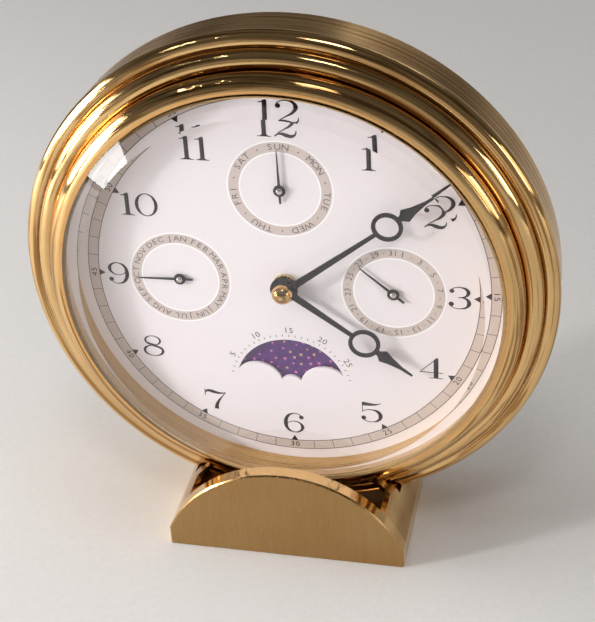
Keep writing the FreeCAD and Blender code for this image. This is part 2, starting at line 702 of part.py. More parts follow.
def make_plate_screws():
    _, back, _ = base_y()
    screws = []
    for side in (-1, 1):
        head_y = back + FLOOR_THICKNESS
        head = Part.makeCylinder(BASE_SCREW[1], BASE_SCREW[2], V(0, head_y, 0), V(0, 1, 0))
        shank = Part.makeCylinder(BASE_SCREW[0], FLOOR_THICKNESS + 2.4, V(0, head_y, 0), V(0, -1, 0))
        body = head.fuse(shank).removeSplitter()
        body.translate(V(side * TAB_SCREW_X, 0, TAB_SCREW_HEIGHT))
        screws.append(body)
    return screws


# ---------------------------------------------------------------- hands
def ring_hand(shape, hub_radius, bore, z, angle):
    """A hand with an open ring near its end and a leaf-shaped point beyond it."""
    length, ring_centre, ring_radius, ring_bore, shoulder, shoulder_half, neck = shape
    top = z + HAND_THICKNESS
    shaft = prism([(-SHAFT_HALF_WIDTH, 0), (SHAFT_HALF_WIDTH, 0),
                   (SHAFT_END_HALF_WIDTH, ring_centre), (-SHAFT_END_HALF_WIDTH, ring_centre)], z, top)
    side = [(NECK_HALF_WIDTH, ring_centre + ring_radius - RING_LAP), (NECK_HALF_WIDTH, shoulder - BLADE_RISE),
            (shoulder_half, shoulder), (shoulder_half * BLADE_BEND_SHARE, shoulder + BLADE_BEND),
            (POINT_HALF_WIDTH, neck), (TIP_HALF_WIDTH, length)]
    leaf = prism(side + [(-x, y) for x, y in reversed(side)], z, top)
    hand = shaft.fuse(cylinder(ring_radius, z, top, (0, ring_centre)))
    hand = hand.cut(cylinder(ring_bore, z - 1, top + 1, (0, ring_centre)))
    hand = hand.fuse(leaf).fuse(cylinder(hub_radius, z, top)).removeSplitter()
    hand = hand.cut(cylinder(bore, z - 1, top + 1))
    return to_clock(turn_about(hand, -angle))


def make_minute_hand():
    bore = MINUTE_TIP_RADIUS + SHAFT_FIT
    return ring_hand(MINUTE_SHAPE, MINUTE_HUB_RADIUS, bore, MINUTE_HAND_Z, MINUTE_ANGLE)


def make_hour_hand():
    return ring_hand(HOUR_SHAPE, HOUR_HUB_RADIUS, HOUR_PIPE_RADIUS + SHAFT_FIT, HOUR_HAND_Z, HOUR_ANGLE)


def small_hand(centre, angle):
    """A thin pointed hand with a round boss and a short tail."""
    z, top = SMALL_HAND_Z, SMALL_HAND_Z + SMALL_HAND_THICKNESS
    half = SMALL_HAND_HALF_WIDTH
    blade = prism([(-half * 0.7, -SMALL_HAND_TAIL), (half * 0.7, -SMALL_HAND_TAIL), (half, 0),
                   (0.1, SMALL_HAND_LENGTH), (-0.1, SMALL_HAND_LENGTH), (-half, 0)], z, top)
    hand = blade.fuse(cylinder(SMALL_HAND_HUB, z, top)).removeSplitter()
    hand = hand.cut(cylinder(SMALL_ARBOR_RADIUS + SHAFT_FIT, z - 1, top + 1))
    hand = turn_about(hand, -angle)
    hand.translate(V(centre[0], centre[1], 0))
    return to_clock(hand)


def make_hand_nut():
    """Domed nut on the end of the minute arbor."""
    low = MINUTE_HAND_Z + HAND_THICKNESS
    shoulder = low + NUT_COLLAR
    dome_height = NUT_HEIGHT - NUT_COLLAR
    dome_radius = (NUT_RADIUS ** 2 + dome_height ** 2) / (2 * dome_height)
    dome = Part.makeSphere(dome_radius, V(0, 0, shoulder + dome_height - dome_radius))
    domed = dome.fuse(cylinder(NUT_RADIUS, low, shoulder))
    nut = cylinder(NUT_RADIUS, low, shoulder + dome_height).common(domed)
    thread = cylinder(MINUTE_TIP_RADIUS + SHAFT_FIT, low - 1, shoulder + 0.3)
    return to_clock(nut.removeSplitter().cut(thread))


# ---------------------------------------------------------------- motion work
def minute_wheel_centre():
    return polar(centre_distance(CANNON_PINION, MINUTE_WHEEL), MINUTE_WHEEL_ANGLE)


def minute_phases():
    """Tooth phases of the cannon pinion, minute wheel, its pinion and the hour wheel."""
    cannon = 90.0 - MINUTE_ANGLE
    wheel = meshing_phase(CANNON_PINION, cannon, MINUTE_WHEEL_ANGLE, MINUTE_WHEEL)
    pinion = wheel
    hour = meshing_phase(MINUTE_PINION, pinion, MINUTE_WHEEL_ANGLE + 180, HOUR_WHEEL)
    return cannon, wheel, pinion, hour


def make_minute_arbor():
    cannon, _, _, _ = minute_phases()
    front_end = MINUTE_HAND_Z + HAND_THICKNESS + 0.9
    arbor = cylinder(MINUTE_ARBOR_RADIUS, MINUTE_LAYER[1], MINUTE_HAND_Z)
    arbor = arbor.fuse(cylinder(MINUTE_TIP_RADIUS, MINUTE_HAND_Z, front_end))
    arbor = arbor.fuse(cylinder(TRAIN_ARBOR_RADIUS, BRIDGE_LAYER[1], MINUTE_LAYER[1]))
    arbor = arbor.fuse(gear_blank(CANNON_PINION, cannon, MINUTE_LAYER))
    return to_clock(arbor.removeSplitter())


def make_hour_wheel():
    """Hour pipe with the hour wheel and, in front of it, the pinion of the calendar."""
    _, _, _, phase = minute_phases()
    wheel = gear_blank(HOUR_WHEEL, phase, HOUR_LAYER)
    wheel = wheel.fuse(gear_blank(HOUR_PINION, 90.0 - HOUR_ANGLE, DAY_LAYER))
    wheel = wheel.fuse(cylinder(HOUR_PIPE_RADIUS, HOUR_LAYER[1], HOUR_HAND_Z + HAND_THICKNESS + 0.1))
    wheel = wheel.removeSplitter()
    return to_clock(wheel.cut(cylinder(HOUR_PIPE_BORE, HOUR_LAYER[1] - 1, HOUR_HAND_Z + 2)))


def make_minute_wheel():
    _, wheel_phase, pinion_phase, _ = minute_phases()
    centre = minute_wheel_centre()
    wheel = gear_blank(MINUTE_WHEEL, wheel_phase, MINUTE_LAYER, centre)
    wheel = wheel.fuse(gear_blank(MINUTE_PINION, pinion_phase, HOUR_LAYER, centre))
    middle = cylinder(pitch_radius(MINUTE_PINION) * 0.7, MINUTE_LAYER[0], HOUR_LAYER[1], centre)
    wheel = wheel.fuse(middle)
    wheel = wheel.fuse(cylinder(TRAIN_ARBOR_RADIUS, KNOB_FRONT - 2.0, MINUTE_LAYER[1], centre))
    return to_clock(wheel.removeSplitter())


def make_set_knob():
    """Ribbed knob on the back end of the minute wheel's arbor."""
    centre = minute_wheel_centre()
    points = []
    for rib in range(KNOB_RIBS):
        angle = 360.0 * rib / KNOB_RIBS
        quarter = 90.0 / KNOB_RIBS
        points.append(polar(KNOB_RADIUS, angle - quarter, centre))
        points.append(polar(KNOB_RADIUS, angle + quarter, centre))
        points.append(polar(KNOB_RADIUS - 0.5, angle + 2 * quarter, centre))
    knob = prism(points, KNOB_BACK, KNOB_FRONT)
    return to_clock(knob.cut(cylinder(TRAIN_ARBOR_RADIUS, KNOB_FRONT - 2.0, KNOB_FRONT + 1, centre)))


# ---------------------------------------------------------------- calendar work
def day_drive_centres():
    """The upper and the lower day wheel, both turned by the hour pinion."""
    distance = centre_distance(HOUR_PINION, DAY_WHEEL)
    return polar(distance, DAY_WHEEL_ANGLE), polar(distance, MOON_DRIVE_ANGLE)


def finger(centre, angle):
    """A finger that moves a star wheel one tooth each turn."""
    reach = FINGER_REACH
    half = FINGER_HALF_WIDTH
    arm = block(0, reach - half, -half, half, STAR_LAYER[1], STAR_LAYER[0])
    tip = cylinder(half, STAR_LAYER[1], STAR_LAYER[0], (reach - half, 0))
    shape = turn_about(arm.fuse(tip), angle)
    shape.translate(V(centre[0], centre[1], 0))
    return shape


def day_drive(centre, line_angle, targets):
    """A 24-hour wheel whose fingers pass their star wheels at midnight."""
    phase = meshing_phase(HOUR_PINION, 90.0 - HOUR_ANGLE, line_angle, DAY_WHEEL)
    wheel = wheel_with_arbor(DAY_WHEEL, phase, DAY_LAYER, centre, STAR_LAYER[0] + 0.4, FRONT_PLATE_LAYER[1])
    wheel = wheel.fuse(cylinder(FINGER_HUB, STAR_LAYER[1], STAR_LAYER[0], centre))
    for target in targets:
        angle = direction(centre, target) + 15.0 * HOURS_SINCE_MIDNIGHT
        wheel = wheel.fuse(finger(centre, angle))
    return to_clock(wheel.removeSplitter())


def make_day_drive_wheel():
    return day_drive(day_drive_centres()[0], DAY_WHEEL_ANGLE, [DAY_CENTRE, DATE_CENTRE])


def make_moon_drive_wheel():
    return day_drive(day_drive_centres()[1], MOON_DRIVE_ANGLE, [MOON_CENTRE])


def star_wheel(star, centre, angle, front):
    """A star wheel on the arbor of its hand; angle is the hand's, clockwise from the top."""
    wheel = star_blank(star, 90.0 - angle, centre)
    wheel = wheel.fuse(cylinder(STAR_HUB_RADIUS, CALENDAR_PLATE_LAYER[0] + 0.1, STAR_LAYER[1], centre))
    wheel = wheel.fuse(cylinder(SMALL_ARBOR_RADIUS, CALENDAR_PLATE_LAYER[1], front, centre))
    return to_clock(wheel.removeSplitter())


def make_moon_disc():
    """The painted disc, pressed on the front of its star wheel's arbor."""
    back = MOON_DISC_FRONT - MOON_DISC_THICKNESS
    disc = cylinder(MOON_DISC_RADIUS, back, MOON_DISC_FRONT, MOON_CENTRE)
    return to_clock(disc.cut(cylinder(SMALL_ARBOR_RADIUS + SHAFT_FIT, back - 1, 0, MOON_CENTRE)))


def corrector_centres():
    """Each corrector stands over the rim of its own star wheel."""
    return {
        "day": (0.0, SUB_DIAL_CIRCLE + DAY_STAR[2] - 0.9),
        "date": (SUB_DIAL_CIRCLE + DATE_STAR[2] - 0.9, 0.0),
        "month": (-SUB_DIAL_CIRCLE - MONTH_STAR[2] + 0.9, 0.0),
        "moon": (0.0, -MOON_CENTRE_DROP - MOON_STAR[2] + 0.9),
    }


def make_corrector(name):
    """Push rod with a collar for its spring, a shoulder inside the cover and a button."""
    centre = corrector_centres()[name]
    tip = STAR_LAYER[1] - AIR - CORRECTOR_TRAVEL
    rod = cylinder(CORRECTOR_RADIUS, COVER_FRONT, tip, centre)
    rod = rod.fuse(cylinder(CORRECTOR_COLLAR, spring_seat() - 0.9, spring_seat(), centre))
    rod = rod.fuse(cylinder(CORRECTOR_COLLAR, COVER_FRONT + 0.1, COVER_FRONT + 1.6, centre))
    rod = rod.fuse(cylinder(BUTTON_RADIUS, CASE_BACK - BUTTON_PROUD, COVER_FRONT + 0.5, centre))
    return to_clock(rod.removeSplitter())


def spring_seat():
    """Front face of a corrector's collar, which its leaf spring pushes on."""
    return CALENDAR_PLATE_LAYER[1] - 4.2


def make_corrector_springs():
    """A bent leaf spring for each corrector, fixed to the back of the calendar plate."""
    root = CALENDAR_PLATE_LAYER[1]
    end = spring_seat()
    profile = [(-12.0, root), (-7.0, root), (1.6, end + SPRING_SHEET), (3.0, end + SPRING_SHEET),
               (3.0, end), (1.4, end), (-7.2, root - SPRING_SHEET), (-12.0, root - SPRING_SHEET)]
    springs = []
    for name, centre in corrector_centres().items():
        corners = [V(s, -SPRING_WIDTH / 2, z) for s, z in profile]
        leaf = Part.Face(Part.makePolygon(corners + corners[:1])).extrude(V(0, SPRING_WIDTH, 0))
        leaf = leaf.cut(cylinder(CORRECTOR_RADIUS + AIR, end - 1, root + 1))
        leaf = leaf.cut(block(0, 4, -CORRECTOR_RADIUS - AIR, CORRECTOR_RADIUS + AIR, end - 1, root + 1))
        turn = {"day": 0.0, "date": 270.0, "month": 270.0, "moon": 0.0}[name]
        leaf = turn_about(leaf, turn)
        leaf.translate(V(centre[0], centre[1], 0))
        springs.append(to_clock(leaf))
    return springs


def jumper(centre, star, angle):
    """A bent wire-like spring whose beak rests on a star wheel's teeth."""
    tip = star[2] + 0.2
    width = JUMPER_WIDTH
    points = [(tip, -0.3), (tip, 0.3), (tip + 1.4, 0.9), (tip + 1.4 + width, -JUMPER_REACH),
              (tip + 1.4 - width, -JUMPER_REACH), (tip + 1.1, -0.9)]
    spring = prism(points, STAR_LAYER[1], STAR_LAYER[0])
    stud_centre = (tip + 1.4, -JUMPER_REACH)
    spring = spring.fuse(cylinder(1.3, CALENDAR_PLATE_LAYER[0], STAR_LAYER[0], stud_centre))
    spring = turn_about(spring.removeSplitter(), angle)
    spring.translate(V(centre[0], centre[1], 0))
    return to_clock(spring)


def make_jumper_springs():
    return [
        jumper(DAY_CENTRE, DAY_STAR, 165.0),
        jumper(DATE_CENTRE, DATE_STAR, 285.0),
        jumper(MONTH_CENTRE, MONTH_STAR, 105.0),
        jumper(MOON_CENTRE, MOON_STAR, 20.0),
    ]


def make_centre_bush():
    """Fixed bush for the hour pipe, with a flange behind the calendar plate."""
    back = CALENDAR_PLATE_LAYER[1]
    flange_back = DAY_LAYER[0] + 0.2
    bush = cylinder(BUSH_RADIUS, back, 0.9)
    bush = bush.fuse(cylinder(BUSH_RADIUS + 1.6, flange_back, back))
    return to_clock(bush.removeSplitter().cut(cylinder(BUSH_BORE, flange_back - 1, 2.0)))


def pillar_angles():
    return [22.5 + 90 * i for i in range(4)]


def make_calendar_plate():
    """Round plate that carries the star wheels, the day wheels and the correctors."""
    front, back = CALENDAR_PLATE_LAYER
    plate = cylinder(CALENDAR_PLATE_RADIUS, back, front)
    holes = [(BUSH_RADIUS + SHAFT_FIT, (0.0, 0.0))]
    star_centres = (DAY_CENTRE, DATE_CENTRE, MONTH_CENTRE, MOON_CENTRE)
    holes += [(SMALL_ARBOR_RADIUS + SHAFT_FIT, centre) for centre in star_centres]
    holes += [(WHEEL_ARBOR_RADIUS + SHAFT_FIT, c) for c in day_drive_centres()]
    holes += [(CORRECTOR_RADIUS + SLIDE_FIT, c) for c in corrector_centres().values()]
    for radius, centre in holes:
        plate = plate.cut(cylinder(radius, back - 1, front + 1, centre))
    return to_clock(plate)


def make_dial_pillars():
    front, back = DIAL_BACK, CALENDAR_PLATE_LAYER[0]
    return [to_clock(cylinder(PILLAR_RADIUS, back, front, polar(PILLAR_CIRCLE, a))) for a in pillar_angles()]


def make_motor_pillars():
    front, back = CALENDAR_PLATE_LAYER[1], FRONT_PLATE_LAYER[0]
    x = MOTOR_HALF_WIDTH - 3.5
    corners = [(sx * x, y) for sx in (-1, 1) for y in (MOTOR_TOP - 3.5, MOTOR_BOTTOM + 3.5)]
    return [to_clock(cylinder(PILLAR_RADIUS, back, front, corner)) for corner in corners]


# ---------------------------------------------------------------- quartz motor
def train_centres():
    """Arbors of the going train: third, fourth, step wheel and rotor."""
    third = polar(centre_distance(CENTRE_WHEEL, THIRD_PINION), THIRD_ANGLE)
    fourth = polar(centre_distance(THIRD_WHEEL, FOURTH_PINION), FOURTH_ANGLE, third)
    step = polar(centre_distance(FOURTH_WHEEL, STEP_PINION), STEP_ANGLE, fourth)
    rotor = polar(centre_distance(STEP_WHEEL, ROTOR_PINION), ROTOR_ANGLE, step)
    return third, fourth, step, rotor


def train_phases():
    centre = 0.0
    third = meshing_phase(CENTRE_WHEEL, centre, THIRD_ANGLE, THIRD_PINION)
    fourth = meshing_phase(THIRD_WHEEL, third, FOURTH_ANGLE, FOURTH_PINION)
    step = meshing_phase(FOURTH_WHEEL, fourth, STEP_ANGLE, STEP_PINION)
    rotor = meshing_phase(STEP_WHEEL, step, ROTOR_ANGLE, ROTOR_PINION)
    return centre, third, fourth, step, rotor


def make_centre_wheel():
    """Wheel that carries the minute arbor round through a friction bush."""
    phase = train_phases()[0]
    wheel = gear_blank(CENTRE_WHEEL, phase, CENTRE_LAYER)
    wheel = wheel.fuse(cylinder(1.8, THIRD_LAYER[0] + 0.2, CENTRE_LAYER[1]))
    return to_clock(wheel.removeSplitter().cut(cylinder(TRAIN_ARBOR_RADIUS + SHAFT_FIT, -20, -10)))


def train_wheel(wheel, wheel_layer, pinion, pinion_layer, phase, centre):
    front = FRONT_PLATE_LAYER[0] - 0.4
    body = wheel_with_arbor(wheel, phase, wheel_layer, centre, front, BRIDGE_LAYER[1])
    body = body.fuse(gear_blank(pinion, phase, pinion_layer, centre))
    return to_clock(body.removeSplitter())


def make_third_wheel():
    phase, centre = train_phases()[1], train_centres()[0]
    return train_wheel(THIRD_WHEEL, THIRD_LAYER, THIRD_PINION, CENTRE_LAYER, phase, centre)


def make_fourth_wheel():
    phase, centre = train_phases()[2], train_centres()[1]
    return train_wheel(FOURTH_WHEEL, FOURTH_LAYER, FOURTH_PINION, THIRD_LAYER, phase, centre)


def make_step_wheel():
    phase, centre = train_phases()[3], train_centres()[2]
    return train_wheel(STEP_WHEEL, STEP_LAYER, STEP_PINION, FOURTH_LAYER, phase, centre)


def make_rotor():
    centre = train_centres()[3]
    body = wheel_with_arbor(ROTOR_PINION, train_phases()[4], STEP_LAYER, centre,
                            FRONT_PLATE_LAYER[0] - 0.4, BRIDGE_LAYER[1])
    body = body.fuse(cylinder(ROTOR_RADIUS, ROTOR_LAYER[1], ROTOR_LAYER[0], centre))
    return to_clock(body.removeSplitter())


def stator_stations():
    """The stator's outer edges, its two legs and the foot that joins them."""
    x, y = train_centres()[3]
    right = train_centres()[2][0] - 1.4
    left = x - 6.2
    return left, right, y - 5.0, y + 5.0


def make_stator():
    """Flat iron core: a yoke round the rotor and a closed loop of legs through the coil."""
    left, right, low, high = stator_stations()
    front, back = ROTOR_LAYER[0] - 0.6, ROTOR_LAYER[0] - 1.6
    core = block(left, right, low, high, back, front)
    core = core.fuse(block(left + 1.6, left + 3.6, STATOR_FOOT, low + 0.1, back, front))
    core = core.fuse(block(right - 2.0, right, STATOR_FOOT, low + 0.1, back, front))
    core = core.fuse(block(left + 1.6, right, STATOR_FOOT, STATOR_FOOT + 1.5, back, front))
    core = core.removeSplitter()
    return to_clock(core.cut(cylinder(ROTOR_RADIUS + 0.5, back - 1, front + 1, train_centres()[3])))


def make_coil():
    """Bobbin and winding on the stator's left leg."""
    left, _, low, _ = stator_stations()
    axis_x, axis_z = left + 2.6, ROTOR_LAYER[0] - 1.1
    start = STATOR_FOOT + 2.0
    length = low - start - 0.5
    winding = Part.makeCylinder(COIL_RADIUS, length, V(axis_x, start, axis_z), V(0, 1, 0))
    for y in (start, start + length - 0.8):
        flange = Part.makeCylinder(COIL_FLANGE_RADIUS, 0.8, V(axis_x, y, axis_z), V(0, 1, 0))
        winding = winding.fuse(flange)
    core = block(axis_x - 1.1, axis_x + 1.1, start - 1, start + length + 1, axis_z - 0.6, axis_z + 0.6)
    return to_clock(winding.cut(core).removeSplitter())


def board_box():
    """The circuit board's outline: right, left, bottom, top, back, front."""
    inner = MOTOR_HALF_WIDTH - MOTOR_WALL
    return inner - 11.0, inner - 0.4, -8.0, MOTOR_TOP - MOTOR_WALL - 4.0, -17.0, -16.0


def make_circuit_board():
    """Board with its chip."""
    x_low, x_high, y_low, y_high, z_low, z_high = board_box()
    board = block(x_low, x_high, y_low, y_high, z_low, z_high)
    chip = block(x_low + 2.5, x_high - 3.5, 0.0, 4.6, z_high, z_high + 1.2)
    return to_clock(board.fuse(chip))


def make_quartz_crystal():
    """Small metal can that lies on the board."""
    x_low, x_high, _, y_high, _, z_high = board_box()
    start = V((x_low + x_high) / 2, y_high - 12.0, z_high + 1.05)
    return to_clock(Part.makeCylinder(1.0, 6.0, start, V(0, 1, 0)))


def make_motor_front_plate():
    front, back = FRONT_PLATE_LAYER
    plate = block(-MOTOR_HALF_WIDTH, MOTOR_HALF_WIDTH, MOTOR_BOTTOM, MOTOR_TOP, back, front)
    holes = [(TRAIN_ARBOR_RADIUS, (0.0, 0.0)), (TRAIN_ARBOR_RADIUS, minute_wheel_centre())]
    holes += [(WHEEL_ARBOR_RADIUS, c) for c in train_centres() + day_drive_centres()]
    for radius, centre in holes:
        plate = plate.cut(cylinder(radius + SHAFT_FIT, back - 1, front + 1, centre))
    left, right, _, _ = stator_stations()
    for x in (left + 2.6, right - 1.0):
        plate = plate.fuse(cylinder(POST_RADIUS, ROTOR_LAYER[0] - 0.6, back, (x, STATOR_FOOT + 0.75)))
    board_left, board_right, board_low, board_high, _, board_front = board_box()
    for y in (board_low + 2.0, board_high - 2.0):
        plate = plate.fuse(cylinder(POST_RADIUS, board_front, back, ((board_left + board_right) / 2, y)))
    return to_clock(plate.removeSplitter())


def make_motor_case():
    """Moulded housing, open in front, with a bay for the battery that opens at the back."""
    front, back = FRONT_PLATE_LAYER[1], MOTOR_CASE_BACK
    wall = MOTOR_WALL
    case = block(-MOTOR_HALF_WIDTH, MOTOR_HALF_WIDTH, MOTOR_BOTTOM, MOTOR_TOP, back, front)
    bay_top = -BATTERY_DROP + BATTERY_RADIUS + BATTERY_AIR
    bay_bottom = -BATTERY_DROP - BATTERY_RADIUS - BATTERY_AIR
    half_bay = BATTERY_LENGTH / 2 + CONTACT_THICKNESS + BATTERY_AIR
    room = block(-MOTOR_HALF_WIDTH + wall, MOTOR_HALF_WIDTH - wall, bay_top + wall, MOTOR_TOP - wall,
                 back + wall, front + 1)
    bay = block(-half_bay, half_bay, bay_bottom, bay_top, back - 1, front + 1)
    case = case.cut(room).cut(bay)
    stem_hole = cylinder(TRAIN_ARBOR_RADIUS + SHAFT_FIT, back - 1, back + 3, minute_wheel_centre())
    return to_clock(case.cut(stem_hole))


def make_train_bridge():
    """Plate that carries the back pivots of the going train, on its own posts."""
    front, back = BRIDGE_LAYER
    third, fourth, step, rotor = train_centres()
    left, right = rotor[0] - 4.0, minute_wheel_centre()[0] + 3.5
    top = rotor[1] + 6.0
    coil_right = stator_stations()[0] + 2.6 + COIL_FLANGE_RADIUS + AIR
    coil_top = stator_stations()[2] + AIR
    plate = prism([(left, coil_top), (coil_right, coil_top), (coil_right, BRIDGE_BOTTOM),
                   (right, BRIDGE_BOTTOM), (right, top), (left, top)], back, front)
    holes = [(TRAIN_ARBOR_RADIUS, (0.0, 0.0)), (TRAIN_ARBOR_RADIUS, minute_wheel_centre())]
    holes += [(WHEEL_ARBOR_RADIUS, c) for c in (third, fourth, step, rotor)]
    for radius, centre in holes:
        plate = plate.cut(cylinder(radius + SHAFT_FIT, back - 1, front + 1, centre))
    post_back = MOTOR_CASE_BACK + MOTOR_WALL
    for x, y in ((rotor[0] - 2.5, rotor[1] + 4.5), (minute_wheel_centre()[0] + 2.0, rotor[1] + 4.5),
                 (minute_wheel_centre()[0] + 2.0, BRIDGE_BOTTOM + 1.5)):
        plate = plate.fuse(cylinder(1.2, post_back, back, (x, y)))
    return to_clock(plate.removeSplitter())


def make_battery():
    """Single AA cell lying across the bay, with its raised positive end."""
    nub = 1.0
    sleeve = BATTERY_LENGTH - nub
    start = V(-BATTERY_LENGTH / 2, -BATTERY_DROP, BATTERY_Z)
    cell = Part.makeCylinder(BATTERY_RADIUS, sleeve, start, V(1, 0, 0))
    tip = Part.makeCylinder(2.7, nub, start + V(sleeve, 0, 0), V(1, 0, 0))
    return to_clock(cell.fuse(tip).removeSplitter())


def make_battery_contacts():
    contacts = []
    for side in (-1, 1):
        inner = side * (BATTERY_LENGTH / 2)
        outer = inner + side * CONTACT_THICKNESS
        low, high = min(inner, outer), max(inner, outer)
        plate = block(low, high, -BATTERY_DROP - 5.0, -BATTERY_DROP + 5.0,
                      BATTERY_Z - 5.5, FRONT_PLATE_LAYER[1])
        contacts.append(to_clock(plate))
    return contacts


# ---------------------------------------------------------------- all pieces
def build_nodes():
    small_front = SMALL_HAND_Z + SMALL_HAND_THICKNESS + SMALL_ARBOR_PROUD
    nodes = {
        "bezel": make_bezel(),
        "glass": make_glass(),
        "glass_gasket": make_glass_gasket(),
        "dial_ring": make_dial_ring(),
        "dial": make_dial(),
        "rear_case": make_rear_case(),
        "back_cover": make_back_cover(),
        "cover_screws": make_cover_screws(),
        "case_screws": make_case_screws(),
        "base_plate": make_base_plate(),
        "base_shell": make_base_shell(),
        "base_floor": make_base_floor(),
        "felt_pad": make_felt_pad(),
        "saddle": make_saddle(),
        "saddle_screws": make_saddle_screws(),
        "plate_screws": make_plate_screws(),
        "minute_hand": make_minute_hand(),
        "hour_hand": make_hour_hand(),
        "hand_nut": make_hand_nut(),
        "day_hand": small_hand(DAY_CENTRE, DAY_ANGLE),
        "date_hand": small_hand(DATE_CENTRE, DATE_ANGLE),
        "month_hand": small_hand(MONTH_CENTRE, MONTH_ANGLE),
        "minute_arbor": make_minute_arbor(),
        "hour_wheel": make_hour_wheel(),
        "minute_wheel": make_minute_wheel(),
        "set_knob": make_set_knob(),
        "day_drive_wheel": make_day_drive_wheel(),
        "moon_drive_wheel": make_moon_drive_wheel(),
        "day_star": star_wheel(DAY_STAR, DAY_CENTRE, DAY_ANGLE, small_front),
        "date_star": star_wheel(DATE_STAR, DATE_CENTRE, DATE_ANGLE, small_front),
        "month_star": star_wheel(MONTH_STAR, MONTH_CENTRE, MONTH_ANGLE, small_front),
        "moon_star": star_wheel(MOON_STAR, MOON_CENTRE, 0.0, MOON_DISC_FRONT),
        "moon_disc": make_moon_disc(),
        "jumper_springs": make_jumper_springs(),
        "corrector_springs": make_corrector_springs(),
        "centre_bush": make_centre_bush(),
        "calendar_plate": make_calendar_plate(),
        "dial_pillars": make_dial_pillars(),
        "motor_pillars": make_motor_pillars(),
        "centre_wheel": make_centre_wheel(),
        "third_wheel": make_third_wheel(),
        "fourth_wheel": make_fourth_wheel(),
        "step_wheel": make_step_wheel(),
        "rotor": make_rotor(),
        "stator": make_stator(),
        "coil": make_coil(),
        "circuit_board": make_circuit_board(),
        "quartz_crystal": make_quartz_crystal(),
        "motor_front_plate": make_motor_front_plate(),
        "motor_case": make_motor_case(),
        "train_bridge": make_train_bridge(),
        "battery": make_battery(),
        "battery_contacts": make_battery_contacts(),
    }
    for name in corrector_centres():
        nodes[name + "_corrector"] = make_corrector(name)
    return nodes


def main():
    os.makedirs("parts", exist_ok=True)
    for name, made in build_nodes().items():
        shape = Part.makeCompound(made) if isinstance(made, list) else made
        if not shape.isValid():
            print("not valid:", name)
        shape.exportStep("parts/" + name + ".step")
        solids = shape.Solids
        print(name, "solids", len(solids), "volume", round(sum(s.Volume for s in solids), 1))


main()
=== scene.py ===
# %% [markdown]
# # A desk clock with calendar
#
# The clock is a deep polished brass ring round a thick bevelled glass, over a white dial with three
# small dials and a moon window. It stands on a half-round brass plate. The solid parts come from the
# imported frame. This lesson gives every part its finish, and adds what a mechanical drawing leaves
# out: the printing on the dial, the painted sky and the light that makes brass look like brass.

import math
import random

import bpy
from mathutils import Matrix, Vector


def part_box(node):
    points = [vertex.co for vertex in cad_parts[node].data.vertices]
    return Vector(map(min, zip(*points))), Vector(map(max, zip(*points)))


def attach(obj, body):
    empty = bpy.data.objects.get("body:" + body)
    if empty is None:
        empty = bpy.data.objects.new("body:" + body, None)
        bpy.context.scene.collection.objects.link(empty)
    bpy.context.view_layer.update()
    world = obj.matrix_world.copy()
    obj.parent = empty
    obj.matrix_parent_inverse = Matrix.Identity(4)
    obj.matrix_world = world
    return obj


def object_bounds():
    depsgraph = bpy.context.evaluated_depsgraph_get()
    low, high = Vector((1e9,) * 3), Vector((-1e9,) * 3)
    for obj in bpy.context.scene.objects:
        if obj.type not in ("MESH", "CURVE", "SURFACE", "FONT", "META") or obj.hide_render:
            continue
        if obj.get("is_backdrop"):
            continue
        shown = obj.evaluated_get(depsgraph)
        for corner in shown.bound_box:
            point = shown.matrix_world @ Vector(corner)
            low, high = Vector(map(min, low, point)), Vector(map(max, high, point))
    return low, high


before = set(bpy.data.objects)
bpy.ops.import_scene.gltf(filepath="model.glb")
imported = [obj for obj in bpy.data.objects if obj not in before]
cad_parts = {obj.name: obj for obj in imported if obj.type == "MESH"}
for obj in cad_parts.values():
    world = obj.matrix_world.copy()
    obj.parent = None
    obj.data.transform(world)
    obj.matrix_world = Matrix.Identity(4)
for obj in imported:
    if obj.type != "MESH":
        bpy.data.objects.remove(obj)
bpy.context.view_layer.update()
scene = bpy.context.scene
scene.view_settings.view_transform = "Standard"
MM = 0.001

# %% [markdown]
# ## Where the face is
#
# All printing lies on the front of the dial. The dial stands upright and looks along -Y, so a flat
# piece is drawn on the ground first, with its front up, and is then turned upright and carried to
# the dial. The depth and the height of the axis come from the dial's own box. Places on the face are
# in millimetres from its centre.

# %% The face's centre and depth
dial_low, dial_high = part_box("dial")
DIAL_FRONT = dial_low.y
AXIS_Z = 0.5 * (dial_low.z + dial_high.z)
FACE = Vector((0.0, DIAL_FRONT, AXIS_Z))
print("dial front at y", round(DIAL_FRONT / MM, 3), "mm, axis at z", round(AXIS_Z / MM, 3), "mm")

# %% [markdown]
# ## The camera
#
# The camera looks down on the clock from the right, and is rolled a little. It is given as the place
# where it stands and three angles: round the clock, above the table, and the roll.

# %% Camera
CAMERA_PLACE = Vector((88.76, -359.43, 309.06)) * MM
CAMERA_AZIMUTH = math.radians(13.73)
CAMERA_ELEVATION = math.radians(33.41)
CAMERA_ROLL = math.radians(-3.27)
CAMERA_LENS = 98.36


def camera_turn(azimuth, elevation, roll):
    """The camera's own right, up and back directions, as the columns of a rotation."""
    level = math.cos(elevation)
    back = Vector((math.sin(azimuth) * level, -math.cos(azimuth) * level, math.sin(elevation)))
    right = Vector((0, 0, 1)).cross(back).normalized()
    up = back.cross(right)
    rolled_right = math.cos(roll) * right + math.sin(roll) * up
    rolled_up = math.cos(roll) * up - math.sin(roll) * right
    return Matrix((rolled_right, rolled_up, back)).transposed()


